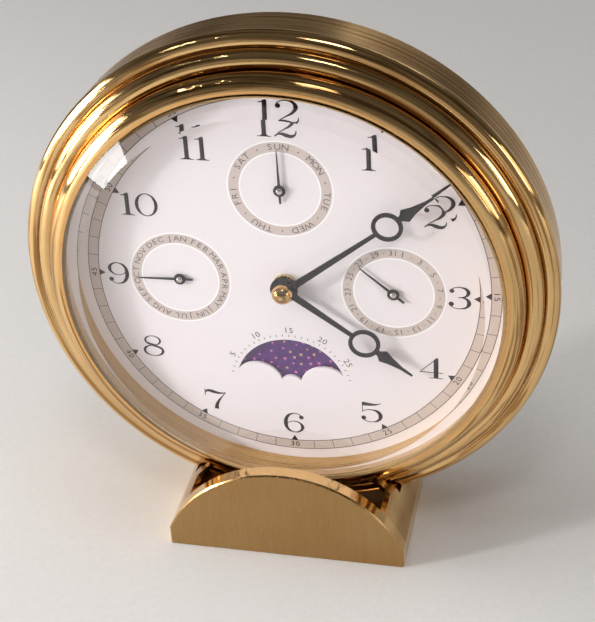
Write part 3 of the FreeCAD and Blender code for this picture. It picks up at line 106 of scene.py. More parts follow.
camera_data = bpy.data.cameras.new("camera")
camera = bpy.data.objects.new("camera", camera_data)
scene.collection.objects.link(camera)
camera_data.lens = CAMERA_LENS
camera_data.sensor_width = 36.0
camera_data.sensor_fit = "HORIZONTAL"
turn = camera_turn(CAMERA_AZIMUTH, CAMERA_ELEVATION, CAMERA_ROLL)
camera.matrix_world = Matrix.Translation(CAMERA_PLACE) @ turn.to_4x4()
scene.camera = camera
print("camera at", [round(v, 3) for v in CAMERA_PLACE])

# %% [markdown]
# ## The light
#
# Polished brass has no look of its own: it shows what stands round it. A small lamp to the left lets
# the hands throw sharp shadows to the right. Two windows, low at the left and the right, give the
# broad bright patches on the beads. A panel over the front, another behind and three small ceiling
# lamps give the glints, and a card low at the left gives a white patch. A weak light from straight
# above, hidden from mirrors, keeps the floor pale far out. All are only so strong that a painted
# surface comes out as its colour says.


# %% Lamps
def soft_panel(name, place, size, power):
    """A soft rectangular lamp at place, in metres, that looks at the middle of the clock."""
    lamp = bpy.data.lights.new(name, "AREA")
    lamp.shape = "RECTANGLE"
    lamp.size, lamp.size_y = size
    lamp.energy = power
    holder = bpy.data.objects.new(name, lamp)
    scene.collection.objects.link(holder)
    holder.location = place
    aim = Vector((0.0, 0.0, AXIS_Z)) - Vector(place)
    holder.rotation_euler = aim.to_track_quat("-Z", "Y").to_euler()


PANELS = (  # name, place and size in metres, power in watts
    ("left_lamp", (-0.58, -0.305, 0.21), (0.06, 0.06), 2.35),
    ("left_window", (-0.64, -0.06, 0.20), (0.32, 0.32), 2.3),
    ("right_window", (0.94, -0.28, 0.30), (0.62, 0.32), 2.3),
    ("front_panel", (0.10, -0.55, 1.17), (0.26, 0.24), 1.6),
    ("back_panel", (0.35, 0.95, 0.85), (0.70, 0.35), 0.6),
    ("white_card", (-0.580, -0.455, 0.085), (0.13, 0.14), 0.80),
)
CEILING_LAMPS = ((-0.83, -0.34, 0.94), (-0.75, -0.37, 1.00), (-0.57, -0.43, 1.11))
CEILING_LAMP_SIZE, CEILING_LAMP_POWER = (0.022, 0.022), 0.12
SKY_STRENGTH, SKY_ANGLE = 0.5, math.radians(50)
for panel in PANELS:
    soft_panel(*panel)
for i, place in enumerate(CEILING_LAMPS):
    soft_panel(f"ceiling_lamp_{i + 1}", place, CEILING_LAMP_SIZE, CEILING_LAMP_POWER)

sky = bpy.data.lights.new("sky", "SUN")
sky.energy, sky.angle = SKY_STRENGTH, SKY_ANGLE
sky_holder = bpy.data.objects.new("sky", sky)
scene.collection.objects.link(sky_holder)
sky_holder.visible_glossy = False

# %% [markdown]
# ## The room
#
# What no lamp fills, the brass mirrors from the room. It is pale up to eye level, and dark and uneven
# overhead, which makes the brown lines in the brass. The shade comes from how far up a ray looks, and
# a broad noise moves the borders up and down.

# %% Room
ROOM_SHADES = [  # from straight down, 0, to straight up, 1
    (0.0, 0.26), (0.62, 0.32), (0.70, 0.25), (0.78, 0.07), (0.86, 0.13), (0.94, 0.045), (1.0, 0.09)
]
ROOM_WARMTH = 0.06
PATCH_SCALE, PATCH_SHIFT = 2.6, 0.30


def room_grey(value):
    """A grey that is a little warmer than neutral."""
    return (value * (1.0 + ROOM_WARMTH), value, value * (1.0 - ROOM_WARMTH), 1.0)


world = bpy.data.worlds.new("room")
scene.world = world
world.use_nodes = True
room = world.node_tree
direction = room.nodes.new("ShaderNodeTexCoord")
parts = room.nodes.new("ShaderNodeSeparateXYZ")
height = room.nodes.new("ShaderNodeMapRange")
height.inputs["From Min"].default_value = -1.0
shades = room.nodes.new("ShaderNodeValToRGB")
uneven = room.nodes.new("ShaderNodeTexNoise")
uneven.inputs["Scale"].default_value = PATCH_SCALE
uneven.inputs["Detail"].default_value = 1.0
shifted = room.nodes.new("ShaderNodeMath")
shifted.operation = "MULTIPLY_ADD"
shifted.inputs[1].default_value = PATCH_SHIFT
while len(shades.color_ramp.elements) < len(ROOM_SHADES):
    shades.color_ramp.elements.new(0.5)
for stop, (place, value) in zip(shades.color_ramp.elements, ROOM_SHADES):
    stop.position, stop.color = place, room_grey(value)
room.links.new(direction.outputs["Generated"], parts.inputs["Vector"])
room.links.new(parts.outputs["Z"], height.inputs["Value"])
room.links.new(direction.outputs["Generated"], uneven.inputs["Vector"])
room.links.new(uneven.outputs["Fac"], shifted.inputs[0])
room.links.new(height.outputs["Result"], shifted.inputs[2])
room.links.new(shifted.outputs["Value"], shades.inputs["Fac"])
room.links.new(shades.outputs["Color"], room.nodes["Background"].inputs["Color"])
print("room:", len(ROOM_SHADES), "shades from floor to ceiling")

# %% [markdown]
# ## How a finish is built
#
# Every finish starts from the Principled shader with its plain values. Noise laid over the piece
# then changes the roughness, the colour or the height by a little. Brushing is noise that is
# stretched along the strokes. On a turned part the strokes run round the axis, so the noise is fed
# the distance from the axis instead of a plain place.


# %% Helpers for finishes
def new_finish(name, colour, metallic, roughness, **more):
    """A material with a Principled shader; more holds other sockets by name, with _ for a space."""
    material = bpy.data.materials.new(name)
    material.use_nodes = True
    tree = material.node_tree
    shader = tree.nodes["Principled BSDF"]
    shader.inputs["Base Color"].default_value = (*colour, 1.0)
    shader.inputs["Metallic"].default_value = metallic
    shader.inputs["Roughness"].default_value = roughness
    for socket, value in more.items():
        shader.inputs[socket.replace("_", " ")].default_value = value
    return material, tree, shader


def maths(tree, operation, first, second=None, third=None):
    """A Math node; each input is a socket or a number."""
    node = tree.nodes.new("ShaderNodeMath")
    node.operation = operation
    for socket, value in zip(node.inputs, (first, second, third)):
        if isinstance(value, bpy.types.NodeSocket):
            tree.links.new(value, socket)
        elif value is not None:
            socket.default_value = value
    return node.outputs["Value"]


def place_on_piece(tree):
    """The object's own coordinates, split into X, Y and Z, seen from the face's centre."""
    coordinates = tree.nodes.new("ShaderNodeTexCoord")
    shift = tree.nodes.new("ShaderNodeVectorMath")
    shift.operation = "SUBTRACT"
    shift.inputs[1].default_value = FACE
    split = tree.nodes.new("ShaderNodeSeparateXYZ")
    tree.links.new(coordinates.outputs["Object"], shift.inputs[0])
    tree.links.new(shift.outputs["Vector"], split.inputs["Vector"])
    return shift.outputs["Vector"], split.outputs


def noise(tree, vector, scale, detail=2.0, roughness=0.5):
    """Noise with about scale specks to the metre."""
    node = tree.nodes.new("ShaderNodeTexNoise")
    node.inputs["Scale"].default_value = scale
    node.inputs["Detail"].default_value = detail
    node.inputs["Roughness"].default_value = roughness
    tree.links.new(vector, node.inputs["Vector"])
    return node.outputs["Fac"]


def spread(tree, value, low, high, start=0.3, end=0.7):
    """Maps a noise, most of which lies between start and end, on the range low to high."""
    node = tree.nodes.new("ShaderNodeMapRange")
    tree.links.new(value, node.inputs["Value"])
    for socket, number in (("From Min", start), ("From Max", end), ("To Min", low), ("To Max", high)):
        node.inputs[socket].default_value = number
    return node.outputs["Result"]


def blend_colours(tree, factor, first, second):
    """A colour between two; each is a socket or an RGB value."""
    node = tree.nodes.new("ShaderNodeMix")
    node.data_type = "RGBA"
    tree.links.new(factor, node.inputs["Factor"])
    for socket, value in ((node.inputs[6], first), (node.inputs[7], second)):
        if isinstance(value, bpy.types.NodeSocket):
            tree.links.new(value, socket)
        else:
            socket.default_value = (*value, 1.0)
    return node.outputs[2]


def relief(tree, shader, height, depth):
    """Gives the shader a bump of this height in metres."""
    bump = tree.nodes.new("ShaderNodeBump")
    bump.inputs["Distance"].default_value = depth
    tree.links.new(height, bump.inputs["Height"])
    tree.links.new(bump.outputs["Normal"], shader.inputs["Normal"])


def combine(tree, x, y, z):
    """Three sockets as the X, Y and Z of one place."""
    node = tree.nodes.new("ShaderNodeCombineXYZ")
    for socket, value in zip(node.inputs, (x, y, z)):
        tree.links.new(value, socket)
    return node.outputs["Vector"]


def stretched(tree, split, *factors):
    """The place with X, Y and Z each multiplied by its own factor."""
    return combine(tree, *(maths(tree, "MULTIPLY", split[axis], factor) for axis, factor in zip("XYZ", factors)))


def from_axis(tree, split):
    """How far a place is from the face's axis, in metres."""
    square = maths(tree, "ADD", maths(tree, "POWER", split["X"], 2.0), maths(tree, "POWER", split["Z"], 2.0))
    return maths(tree, "SQRT", square)


def turned_strokes(tree, split, pitch, drift=12.0):
    """Noise in rings round the face's axis, one about every pitch metres; drift breaks them up."""
    radius = from_axis(tree, split)
    wander = maths(tree, "MULTIPLY", maths(tree, "ADD", split["X"], split["Z"]), drift)
    scale = 1.0 / pitch
    rings = combine(tree, maths(tree, "MULTIPLY", radius, scale), maths(tree, "MULTIPLY", split["Y"], scale), wander)
    return noise(tree, rings, 1.0, 3.0, 0.6)


def straight_strokes(tree, split, pitch, along):
    """Noise in upright lines, one about every pitch metres; a smaller along makes them longer."""
    scale = 1.0 / pitch
    return noise(tree, stretched(tree, split, scale, scale, along), 1.0, 3.0, 0.6)


print("finish helpers ready; the face's centre is", [round(v / MM, 2) for v in FACE], "mm")


# %% [markdown]
# ## Brass
#
# The beads were turned on a lathe, polished on a cloth wheel and lacquered. Seen close, there are
# faint rings from the wheel and parts where the lacquer has gone a little darker. Brown lines along
# the beads are painted reflections of a dark room. The brown in the grooves is partly polish left
# there and partly painted shade. How far a place is from the nearest groove tells the finish where
# that brown lies.
# The drum behind the beads and the ring inside the glass were only brushed.

# %% Brass finishes
BRASS = (0.84, 0.55, 0.245)
BRASS_DARK = (0.40, 0.21, 0.072)
BRASS_PALE = (0.60, 0.42, 0.20)
# brown of the grooves: partly polish residue, partly painted shade
GROOVE_RESIDUE_AND_SHADE = (0.20, 0.095, 0.035)
PLATE_FACE = (0.46, 0.30, 0.13)
GROOVES = ((63.2, -3.6), (68.1, -1.6), (71.5, 2.0))  # radius, and depth behind the dial's front, in mm
DRUM_FRONT = 2.1 * MM
# how far the groove brown, residue and painted shade, reaches from a groove
GROOVE_SHADE_CORE, GROOVE_SHADE_REACH = 0.2 * MM, 1.0 * MM
# the last pitch and the last drift set the brown lines painted as reflections of a dark room
RING_PITCH, WAVE_PITCH, PAINTED_STREAK_PITCH = 0.22 * MM, 0.7 * MM, 0.9 * MM
WAVE_DRIFT, PAINTED_STREAK_DRIFT = 9.0, 26.0
POLISH_RELIEF, BRUSH_RELIEF, SHEET_RELIEF = 0.07 * MM, 0.006 * MM, 0.003 * MM
finishes = {}


def from_grooves(tree, split):
    """How far a place is from the nearest groove between the beads, in metres."""
    radius = from_axis(tree, split)
    nearest = None
    for groove_radius, groove_depth in GROOVES:
        across = maths(tree, "POWER", maths(tree, "SUBTRACT", radius, groove_radius * MM), 2.0)
        along = maths(tree, "POWER", maths(tree, "SUBTRACT", split["Y"], groove_depth * MM), 2.0)
        away = maths(tree, "SQRT", maths(tree, "ADD", across, along))
        nearest = away if nearest is None else maths(tree, "MINIMUM", nearest, away)
    return nearest


def polished_brass():
    """Mirror polish, painted reflection lines on the beads, residue and painted shade in the grooves, a brushed drum.
    """
    material, tree, shader = new_finish("polished_brass", BRASS, 1.0, 0.06)
    vector, split = place_on_piece(tree)
    clouds = noise(tree, vector, 38.0, 3.0)
    rings = turned_strokes(tree, split, RING_PITCH)
    waves = turned_strokes(tree, split, WAVE_PITCH, WAVE_DRIFT)
    painted_reflection_streaks = turned_strokes(tree, split, PAINTED_STREAK_PITCH, PAINTED_STREAK_DRIFT)
    cloudy = spread(tree, clouds, 0.0, 0.35, 0.45, 0.75)
    # The brown lines are painted reflections of a dark room, drawn into the colour of the beads.
    painted_streak_mask = spread(tree, painted_reflection_streaks, 0.0, 1.0, 0.50, 0.59)
    polished = blend_colours(tree, maths(tree, "MAXIMUM", cloudy, painted_streak_mask), BRASS, BRASS_DARK)
    # Brown in the grooves: partly polish residue, partly painted shade where the grooves fall dark.
    residue_and_painted_shade = spread(tree, from_grooves(tree, split), 0.7, 0.0, GROOVE_SHADE_CORE, GROOVE_SHADE_REACH)
    tree.links.new(blend_colours(tree, residue_and_painted_shade, polished, GROOVE_RESIDUE_AND_SHADE), shader.inputs["Base Color"])
    on_drum = maths(tree, "GREATER_THAN", split["Y"], DRUM_FRONT)
    on_beads = maths(tree, "SUBTRACT", 1.0, on_drum)
    shine = maths(tree, "MULTIPLY_ADD", residue_and_painted_shade, 0.2, spread(tree, noise(tree, vector, 160.0, 2.0), 0.045, 0.10))
    satin = spread(tree, rings, 0.16, 0.30)
    rough = maths(tree, "ADD", maths(tree, "MULTIPLY", on_drum, satin), maths(tree, "MULTIPLY", on_beads, shine))
    tree.links.new(rough, shader.inputs["Roughness"])
    fine = maths(tree, "MULTIPLY", rings, maths(tree, "MULTIPLY_ADD", on_drum, 0.04, 0.003))
    depth = maths(tree, "ADD", maths(tree, "MULTIPLY", waves, on_beads), fine)
    relief(tree, shader, depth, POLISH_RELIEF)
    return material


def round_brushed_brass():
    """Brass brushed while it turned: the ring inside the glass, the rear case and its cover."""
    material, tree, shader = new_finish("round_brushed_brass", BRASS_PALE, 1.0, 0.28)
    vector, split = place_on_piece(tree)
    rings = turned_strokes(tree, split, 0.30 * MM)
    clouds = noise(tree, vector, 25.0, 2.0)
    tree.links.new(spread(tree, rings, 0.20, 0.40), shader.inputs["Roughness"])
    tree.links.new(blend_colours(tree, spread(tree, clouds, 0.0, 0.5), BRASS_PALE, BRASS), shader.inputs["Base Color"])
    relief(tree, shader, rings, BRUSH_RELIEF)
    return material


def plate_brass():
    """The front plate: upright brushing on its face, a buffed edge."""
    material, tree, shader = new_finish("plate_brass", BRASS_PALE, 1.0, 0.26)
    vector, split = place_on_piece(tree)
    fine = straight_strokes(tree, split, 0.16 * MM, 12.0)
    broad = straight_strokes(tree, split, 1.3 * MM, 9.0)
    lines = maths(tree, "MULTIPLY_ADD", broad, 0.5, maths(tree, "MULTIPLY", fine, 0.5))
    geometry = tree.nodes.new("ShaderNodeNewGeometry")
    normal = tree.nodes.new("ShaderNodeSeparateXYZ")
    tree.links.new(geometry.outputs["Normal"], normal.inputs["Vector"])
    on_face = maths(tree, "GREATER_THAN", maths(tree, "ABSOLUTE", normal.outputs["Y"]), 0.7)
    rough = maths(tree, "MULTIPLY_ADD", on_face, 0.16, spread(tree, lines, 0.05, 0.16, 0.35, 0.65))
    tree.links.new(rough, shader.inputs["Roughness"])
    clouds = noise(tree, vector, 30.0, 2.0)
    worn = maths(tree, "MULTIPLY_ADD", lines, 0.6, spread(tree, clouds, 0.0, 0.4))
    face = blend_colours(tree, spread(tree, worn, 0.0, 0.85, 0.2, 0.8), PLATE_FACE, BRASS_DARK)
    tree.links.new(blend_colours(tree, on_face, BRASS, face), shader.inputs["Base Color"])
    relief(tree, shader, lines, BRUSH_RELIEF)
    return material


def sheet_brass():
    """Thin rolled sheet, bent and lacquered, with faint rolling lines along it."""
    material, tree, shader = new_finish("sheet_brass", BRASS, 1.0, 0.14)
    vector, split = place_on_piece(tree)
    lines = noise(tree, stretched(tree, split, 60.0, 60.0, 2500.0), 1.0, 3.0)
    tree.links.new(spread(tree, lines, 0.08, 0.20), shader.inputs["Roughness"])
    clouds = noise(tree, vector, 60.0, 3.0)
    tree.links.new(blend_colours(tree, spread(tree, clouds, 0.0, 0.8), BRASS, BRASS_DARK), shader.inputs["Base Color"])
    relief(tree, shader, lines, SHEET_RELIEF)
    return material


finishes["polished_brass"] = polished_brass()
finishes["brushed_brass"] = finishes["cover_brass"] = round_brushed_brass()
finishes["sheet_brass"] = sheet_brass()
plate_finish = plate_brass()
print("brass finishes:", sorted({finish.name for finish in (*finishes.values(), plate_finish)}))

# %% [markdown]
# ## Glass and its seat
#
# The glass is 4 mm thick, with a broad bevel ground all round. It bends light as real glass does, so
# the numbers under the bevel show twice. A plain clear shader takes over for the rays that come from
# lamps, so that the dial underneath is lit. The glass lies on a thin ring of honey-coloured
# silicone, which shines through its edge.


# %% Glass finishes
def clear_glass():
    """Glass that bends what is seen through it, and is plain clear to rays that come from lamps."""
    material, tree, shader = new_finish(
        "bevelled_glass", (1.0, 1.0, 1.0), 0.0, 0.0, IOR=1.52, Transmission_Weight=1.0, Specular_IOR_Level=0.2
    )
    clear = tree.nodes.new("ShaderNodeBsdfTransparent")
    path = tree.nodes.new("ShaderNodeLightPath")
    mix = tree.nodes.new("ShaderNodeMixShader")
    tree.links.new(path.outputs["Is Shadow Ray"], mix.inputs["Fac"])
    tree.links.new(shader.outputs["BSDF"], mix.inputs[1])
    tree.links.new(clear.outputs["BSDF"], mix.inputs[2])
    tree.links.new(mix.outputs["Shader"], tree.nodes["Material Output"].inputs["Surface"])
    return material


def speckled(name, low, high, roughness, scale, depth, metallic=0.0, **more):
    """A finish of two near colours in fine specks, with a grain of this depth."""
    material, tree, shader = new_finish(name, low, metallic, roughness, **more)
    vector, _ = place_on_piece(tree)
    grain = noise(tree, vector, scale, 3.0, 0.6)
    tree.links.new(blend_colours(tree, spread(tree, grain, 0.0, 1.0), low, high), shader.inputs["Base Color"])
    tree.links.new(spread(tree, grain, max(roughness - 0.06, 0.02), roughness + 0.08), shader.inputs["Roughness"])
    relief(tree, shader, grain, depth)
    return material


finishes["bevelled_glass"] = clear_glass()
finishes["gasket"] = speckled("gasket", (0.78, 0.54, 0.24), (0.86, 0.63, 0.31), 0.45, 900.0, 0.004 * MM)
print("glass finishes:", finishes["bevelled_glass"].name, finishes["gasket"].name)

# %% [markdown]
# ## Paint, steel, plastic and the rest
#
# The parts that hardly show still get a true finish, because the clock is also looked at from behind
# and taken apart. Most of them are two near colours in fine specks, with a grain of their own size.

# %% Other finishes
SPECKLED = {  # two colours, roughness, specks to the metre, depth of the grain in mm, metallic
    "dial_white": ((0.77, 0.71, 0.73), (0.80, 0.74, 0.76), 0.42, 2200.0, 0.0008),
    "moon_blue": ((0.050, 0.008, 0.105), (0.090, 0.016, 0.165), 0.35, 380.0, 0.001),
    "hand_black": ((0.006, 0.004, 0.005), (0.014, 0.009, 0.010), 0.4, 900.0, 0.001),
    "steel": ((0.50, 0.49, 0.47), (0.60, 0.59, 0.57), 0.24, 1500.0, 0.002, 1.0),
    "felt": ((0.010, 0.045, 0.022), (0.030, 0.085, 0.045), 0.9, 1800.0, 0.12),
    "zinc": ((0.40, 0.40, 0.41), (0.52, 0.52, 0.52), 0.5, 700.0, 0.02, 0.9),
    "brass_wheel": ((0.70, 0.50, 0.20), (0.80, 0.60, 0.28), 0.24, 1200.0, 0.002, 1.0),
    "knob_plastic": ((0.018, 0.018, 0.020), (0.032, 0.032, 0.034), 0.45, 1800.0, 0.010),
    "nylon": ((0.72, 0.70, 0.62), (0.80, 0.78, 0.71), 0.4, 700.0, 0.002),
    "spring_steel": ((0.34, 0.36, 0.40), (0.45, 0.46, 0.49), 0.28, 1100.0, 0.002, 1.0),
    "plate_steel": ((0.52, 0.51, 0.49), (0.62, 0.61, 0.58), 0.32, 900.0, 0.002, 1.0),
    "magnet": ((0.12, 0.12, 0.13), (0.20, 0.20, 0.21), 0.5, 1600.0, 0.008, 0.7),
    "copper_wire": ((0.55, 0.20, 0.08), (0.70, 0.28, 0.12), 0.3, 900.0, 0.002, 1.0),
    "board_green": ((0.010, 0.090, 0.030), (0.016, 0.120, 0.045), 0.3, 600.0, 0.002),
    "nickel": ((0.60, 0.58, 0.53), (0.70, 0.68, 0.63), 0.16, 800.0, 0.001, 1.0),
    "movement_black": ((0.012, 0.012, 0.014), (0.026, 0.026, 0.028), 0.55, 2600.0, 0.014),
    "battery_jacket": ((0.030, 0.034, 0.040), (0.045, 0.050, 0.056), 0.3, 300.0, 0.002),
}
EXTRAS = {
    "hand_black": {"Specular_IOR_Level": 0.15},
    "felt": {"Sheen_Weight": 0.4},
    "nylon": {"Subsurface_Weight": 0.1},
}
for name, (low, high, roughness, scale, grain_depth, *metallic) in SPECKLED.items():
    extras = EXTRAS.get(name, {})
    finishes[name] = speckled(name, low, high, roughness, scale, grain_depth * MM, *metallic, **extras)

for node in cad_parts.values():
    slot_name = node.material_slots[0].material.name.split(".")[0]
    node.material_slots[0].material = finishes[slot_name]
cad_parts["base_plate"].material_slots[0].material = plate_finish
print("finishes:", len(finishes), "for", len(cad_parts), "nodes")

# %% [markdown]
# ## Printing on the dial
#
# A clock dial is printed with a soft pad that leaves a film of ink about a hundredth of a millimetre
# thick. Here each print is a very thin solid piece in three layers: the beige bands lie on the
# paint, the fine lines over them, and the figures on top. Layers never share a height, because two
# surfaces at the same height would flicker.

# %% Tools for printing
LAYER = 0.012 * MM
INK_THICKNESS = 0.009 * MM
BAND_LAYER, LINE_LAYER, FIGURE_LAYER = 1, 2, 3


def deselect():
    """Deselects everything, because an operator acts on all that is selected."""
    bpy.ops.object.select_all(action="DESELECT")


def settle(piece):
    """Moves a piece's turn, size and place into its mesh."""
    deselect()
    piece.select_set(True)
    bpy.context.view_layer.objects.active = piece
    bpy.ops.object.transform_apply(location=True, rotation=True, scale=True)
    return piece


def joined(pieces):
    """Joins the pieces to the first of them."""
    deselect()
    for piece in pieces:
        piece.select_set(True)
    bpy.context.view_layer.objects.active = pieces[0]
    if len(pieces) > 1:
        bpy.ops.object.join()
    return pieces[0]


def apply_modifier(piece, kind, **settings):
    """Gives the piece a modifier with these settings and makes its result the mesh."""
    deselect()
    piece.select_set(True)
    bpy.context.view_layer.objects.active = piece
    modifier = piece.modifiers.new(kind.lower(), kind)
    for name, value in settings.items():
        setattr(modifier, name, value)
    bpy.ops.object.modifier_apply(modifier=modifier.name)
    return piece


def stand_on(piece, name, front, material, body):
    """Turns a flat piece upright, carries it to the depth y = front and gives it name and finish."""
    piece.rotation_euler = (math.radians(90), 0, 0)
    piece.location = (0.0, front, AXIS_Z)
    settle(piece)
    piece.name = piece.data.name = name
    piece.data.materials.clear()
    piece.data.materials.append(material)
    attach(piece, body)
    return piece


def print_piece(name, parts, material, layer, front=DIAL_FRONT, body="case"):
    """Joins flat shapes to one film of ink, on this layer over the surface at y = front."""
    film = apply_modifier(joined(parts), "SOLIDIFY", thickness=INK_THICKNESS, offset=0.0)
    count = len(film.data.polygons)
    stand_on(film, name, front - layer * LAYER, material, body)
    print(f"{name}: {count} faces")
    return film


def disc(radius, place=(0.0, 0.0), corners=24, height=0.0):
    """A flat round spot; radius and place are in millimetres."""
    deselect()
    at = (place[0] * MM, place[1] * MM, height)
    bpy.ops.mesh.primitive_circle_add(vertices=corners, radius=radius * MM, fill_type="NGON", location=at)
    return settle(bpy.context.object)


def flat_ring(outer, inner, place=(0.0, 0.0), corners=120):
    """A flat ring: a disc whose face is inset and cut out."""
    ring = disc(outer, place, corners)
    bpy.ops.object.mode_set(mode="EDIT")
    bpy.ops.mesh.select_all(action="SELECT")
    bpy.ops.mesh.inset(thickness=(outer - inner) * MM * math.cos(math.pi / corners))
    bpy.ops.mesh.delete(type="FACE")
    bpy.ops.object.mode_set(mode="OBJECT")
    return ring


def clock_point(radius, degrees, centre=(0.0, 0.0)):
    """The place at this radius and this angle clockwise from the top."""
    angle = math.radians(degrees)
    return (centre[0] + radius * math.sin(angle), centre[1] + radius * math.cos(angle))


def bar(length, width, place, degrees):
    """A short flat line whose middle is at place, turned clockwise by degrees from upright."""
    deselect()
    bpy.ops.mesh.primitive_plane_add(size=1.0, location=(place[0] * MM, place[1] * MM, 0))
    piece = bpy.context.object
    piece.scale = (width * MM, length * MM, 1)
    piece.rotation_euler = (0, 0, -math.radians(degrees))
    return settle(piece)


def wedge(height, width, place, degrees):
    """A flat triangle whose base is centred on place and whose point looks to the face's centre."""
    deselect()
    bpy.ops.mesh.primitive_circle_add(vertices=3, radius=1.0, fill_type="NGON")
    piece = bpy.context.object
    tip = max(piece.data.vertices, key=lambda v: v.co.y)
    for vertex in piece.data.vertices:
        side = 0.0 if vertex.index == tip.index else math.copysign(0.5 * width * MM, vertex.co.x)
        vertex.co = (side, (-height if vertex.index == tip.index else 0.0) * MM, 0)
    piece.rotation_euler = (0, 0, -math.radians(degrees))
    piece.location = (place[0] * MM, place[1] * MM, 0)
    return settle(piece)


ink_black, ink_tree, ink_shader = new_finish("ink_black", (0.012, 0.004, 0.007), 0.0, 0.4, Specular_IOR_Level=0.12)
ink_vector, _ = place_on_piece(ink_tree)
ink_tree.links.new(spread(ink_tree, noise(ink_tree, ink_vector, 1500.0), 0.32, 0.5), ink_shader.inputs["Roughness"])
ink_grey = speckled("ink_grey", (0.06, 0.040, 0.042), (0.10, 0.070, 0.072), 0.4, 2500.0, 0.0004 * MM)
ink_beige = speckled("ink_beige", (0.54, 0.45, 0.41), (0.59, 0.50, 0.46), 0.45, 2500.0, 0.0006 * MM)
ink_white = speckled("ink_white", (0.88, 0.86, 0.87), (0.92, 0.90, 0.91), 0.35, 2500.0, 0.0004 * MM)
print("inks:", ink_black.name, ink_grey.name, ink_beige.name, ink_white.name)

# %% [markdown]
# ## The minute track
#
# Round the edge runs a beige band between two fine lines, cut by a short line at each minute. At each
# hour a small number stands in the band instead, and a black triangle points to the centre. Over
# the twelve, whose top reaches the band, there is no triangle.

# %% Minute track
TRACK_INNER, TRACK_OUTER = 51.58, 54.43
TRACK_LINE, TICK_WIDTH = 0.22, 0.17
TRIANGLE_HEIGHT, TRIANGLE_WIDTH = 1.7, 2.0
TRACK_MIDDLE = 0.5 * (TRACK_INNER + TRACK_OUTER)
print_piece("track_band", [flat_ring(TRACK_OUTER, TRACK_INNER, corners=180)], ink_beige, BAND_LAYER)
track_lines = [
    flat_ring(radius + 0.5 * TRACK_LINE, radius - 0.5 * TRACK_LINE, corners=180)
    for radius in (TRACK_INNER, TRACK_OUTER)
]
for minute in range(60):
    if minute % 5:
        angle = minute * 6.0
        middle = clock_point(TRACK_MIDDLE, angle)
        track_lines.append(bar(TRACK_OUTER - TRACK_INNER, TICK_WIDTH, middle, angle))
print_piece("track_lines", track_lines, ink_grey, LINE_LAYER)
triangles = [
    wedge(TRIANGLE_HEIGHT, TRIANGLE_WIDTH, clock_point(TRACK_INNER, hour * 30), hour * 30)
    for hour in range(1, 12)
]
print_piece("hour_triangles", triangles, ink_black, FIGURE_LAYER)

# %% [markdown]
# ## Small lettering
#
# Words and numbers on the rings are set letter by letter, each turned to stand on the ring. The
# letters come from Blender's own font. Each is made a mesh before it is carried to its place.


# %% Letters on a ring
def letter(text, size, place, degrees, stretch=1.0):
    """One letter or a short number, centred on place, turned clockwise by degrees."""
    deselect()
    bpy.ops.object.text_add()
    piece = bpy.context.object
    piece.data.body = text
    piece.data.align_x = "CENTER"
    piece.data.align_y = "CENTER"
    piece.data.size = size * MM
    piece.data.resolution_u = 3
    bpy.ops.object.convert(target="MESH")
    piece = bpy.context.object
    piece.scale = (stretch, 1, 1)
    piece.rotation_euler = (0, 0, -math.radians(degrees))
    piece.location = (place[0] * MM, place[1] * MM, 0)
    return settle(piece)


def ring_word(word, size, centre, radius, degrees, spacing, stretch=1.15):
    """A word along a ring, tops outward, its middle at this angle; spacing is between letters in mm."""
    step = math.degrees(spacing / radius)
    first = degrees - 0.5 * step * (len(word) - 1)
    return [
        letter(sign, size, clock_point(radius, first + i * step, centre), first + i * step, stretch)
        for i, sign in enumerate(word)
    ]


MINUTE_TEXT, MINUTE_SPACING, MINUTE_STRETCH = 2.35, 1.45, 1.1
minute_numbers = []
for hour in range(1, 13):
    angle = hour * 30
    upright = angle if angle <= 90 or angle >= 270 else angle + 180
    text = str(hour * 5)
    signs = text if upright == angle else text[::-1]
    for i, sign in enumerate(signs):
        turned = angle + (i - 0.5 * (len(signs) - 1)) * math.degrees(MINUTE_SPACING / TRACK_MIDDLE)
        middle = clock_point(TRACK_MIDDLE, turned)
        minute_numbers.append(letter(sign, MINUTE_TEXT, middle, turned + upright - angle, MINUTE_STRETCH))
print_piece("minute_numbers", minute_numbers, ink_black, FIGURE_LAYER)

# %% [markdown]
# ## The three small dials
#
# Each small dial is a beige ring between two white lines. The upper one says the day of the week,
# the left one the month and the right one the date, where the odd numbers are written and a dot
# stands for each even one.

# %% Small dials
RING_OUTER, RING_INNER, RING_LINE = 14.0, 10.4, 0.42
RING_TEXT = 0.5 * (RING_OUTER + RING_INNER)
DAY_CENTRE, DATE_CENTRE, MONTH_CENTRE = (0.0, 28.9), (28.9, 0.0), (-28.9, 0.0)
SMALL_DIALS = {"day": DAY_CENTRE, "date": DATE_CENTRE, "month": MONTH_CENTRE}
# size of the letters and the space from one to the next, and the radius of a dot, in mm
DAY_TEXT, DAY_SPACING, DAY_DOT = 2.4, 2.0, 0.22
MONTH_TEXT, MONTH_SPACING = 2.25, 1.88
DATE_TEXT, DATE_SPACING, DATE_DOT, DATE_STRETCH = 2.3, 1.32, 0.17, 1.05
for name, centre in SMALL_DIALS.items():
    band = flat_ring(RING_OUTER - RING_LINE, RING_INNER + RING_LINE, centre)
    print_piece(f"{name}_ring_band", [band], ink_beige, BAND_LAYER)
    rims = [
        flat_ring(RING_OUTER, RING_OUTER - RING_LINE, centre),
        flat_ring(RING_INNER + RING_LINE, RING_INNER, centre),
    ]
    print_piece(f"{name}_ring_rims", rims, ink_white, LINE_LAYER)

day_signs = []
for i, day in enumerate(("SUN", "MON", "TUE", "WED", "THU", "FRI", "SAT")):
    angle = i * 360 / 7
    day_signs += ring_word(day, DAY_TEXT, DAY_CENTRE, RING_TEXT, angle, DAY_SPACING)
    day_signs.append(disc(DAY_DOT, clock_point(RING_TEXT, angle + 180 / 7, DAY_CENTRE), 10))
print_piece("day_words", day_signs, ink_grey, FIGURE_LAYER)

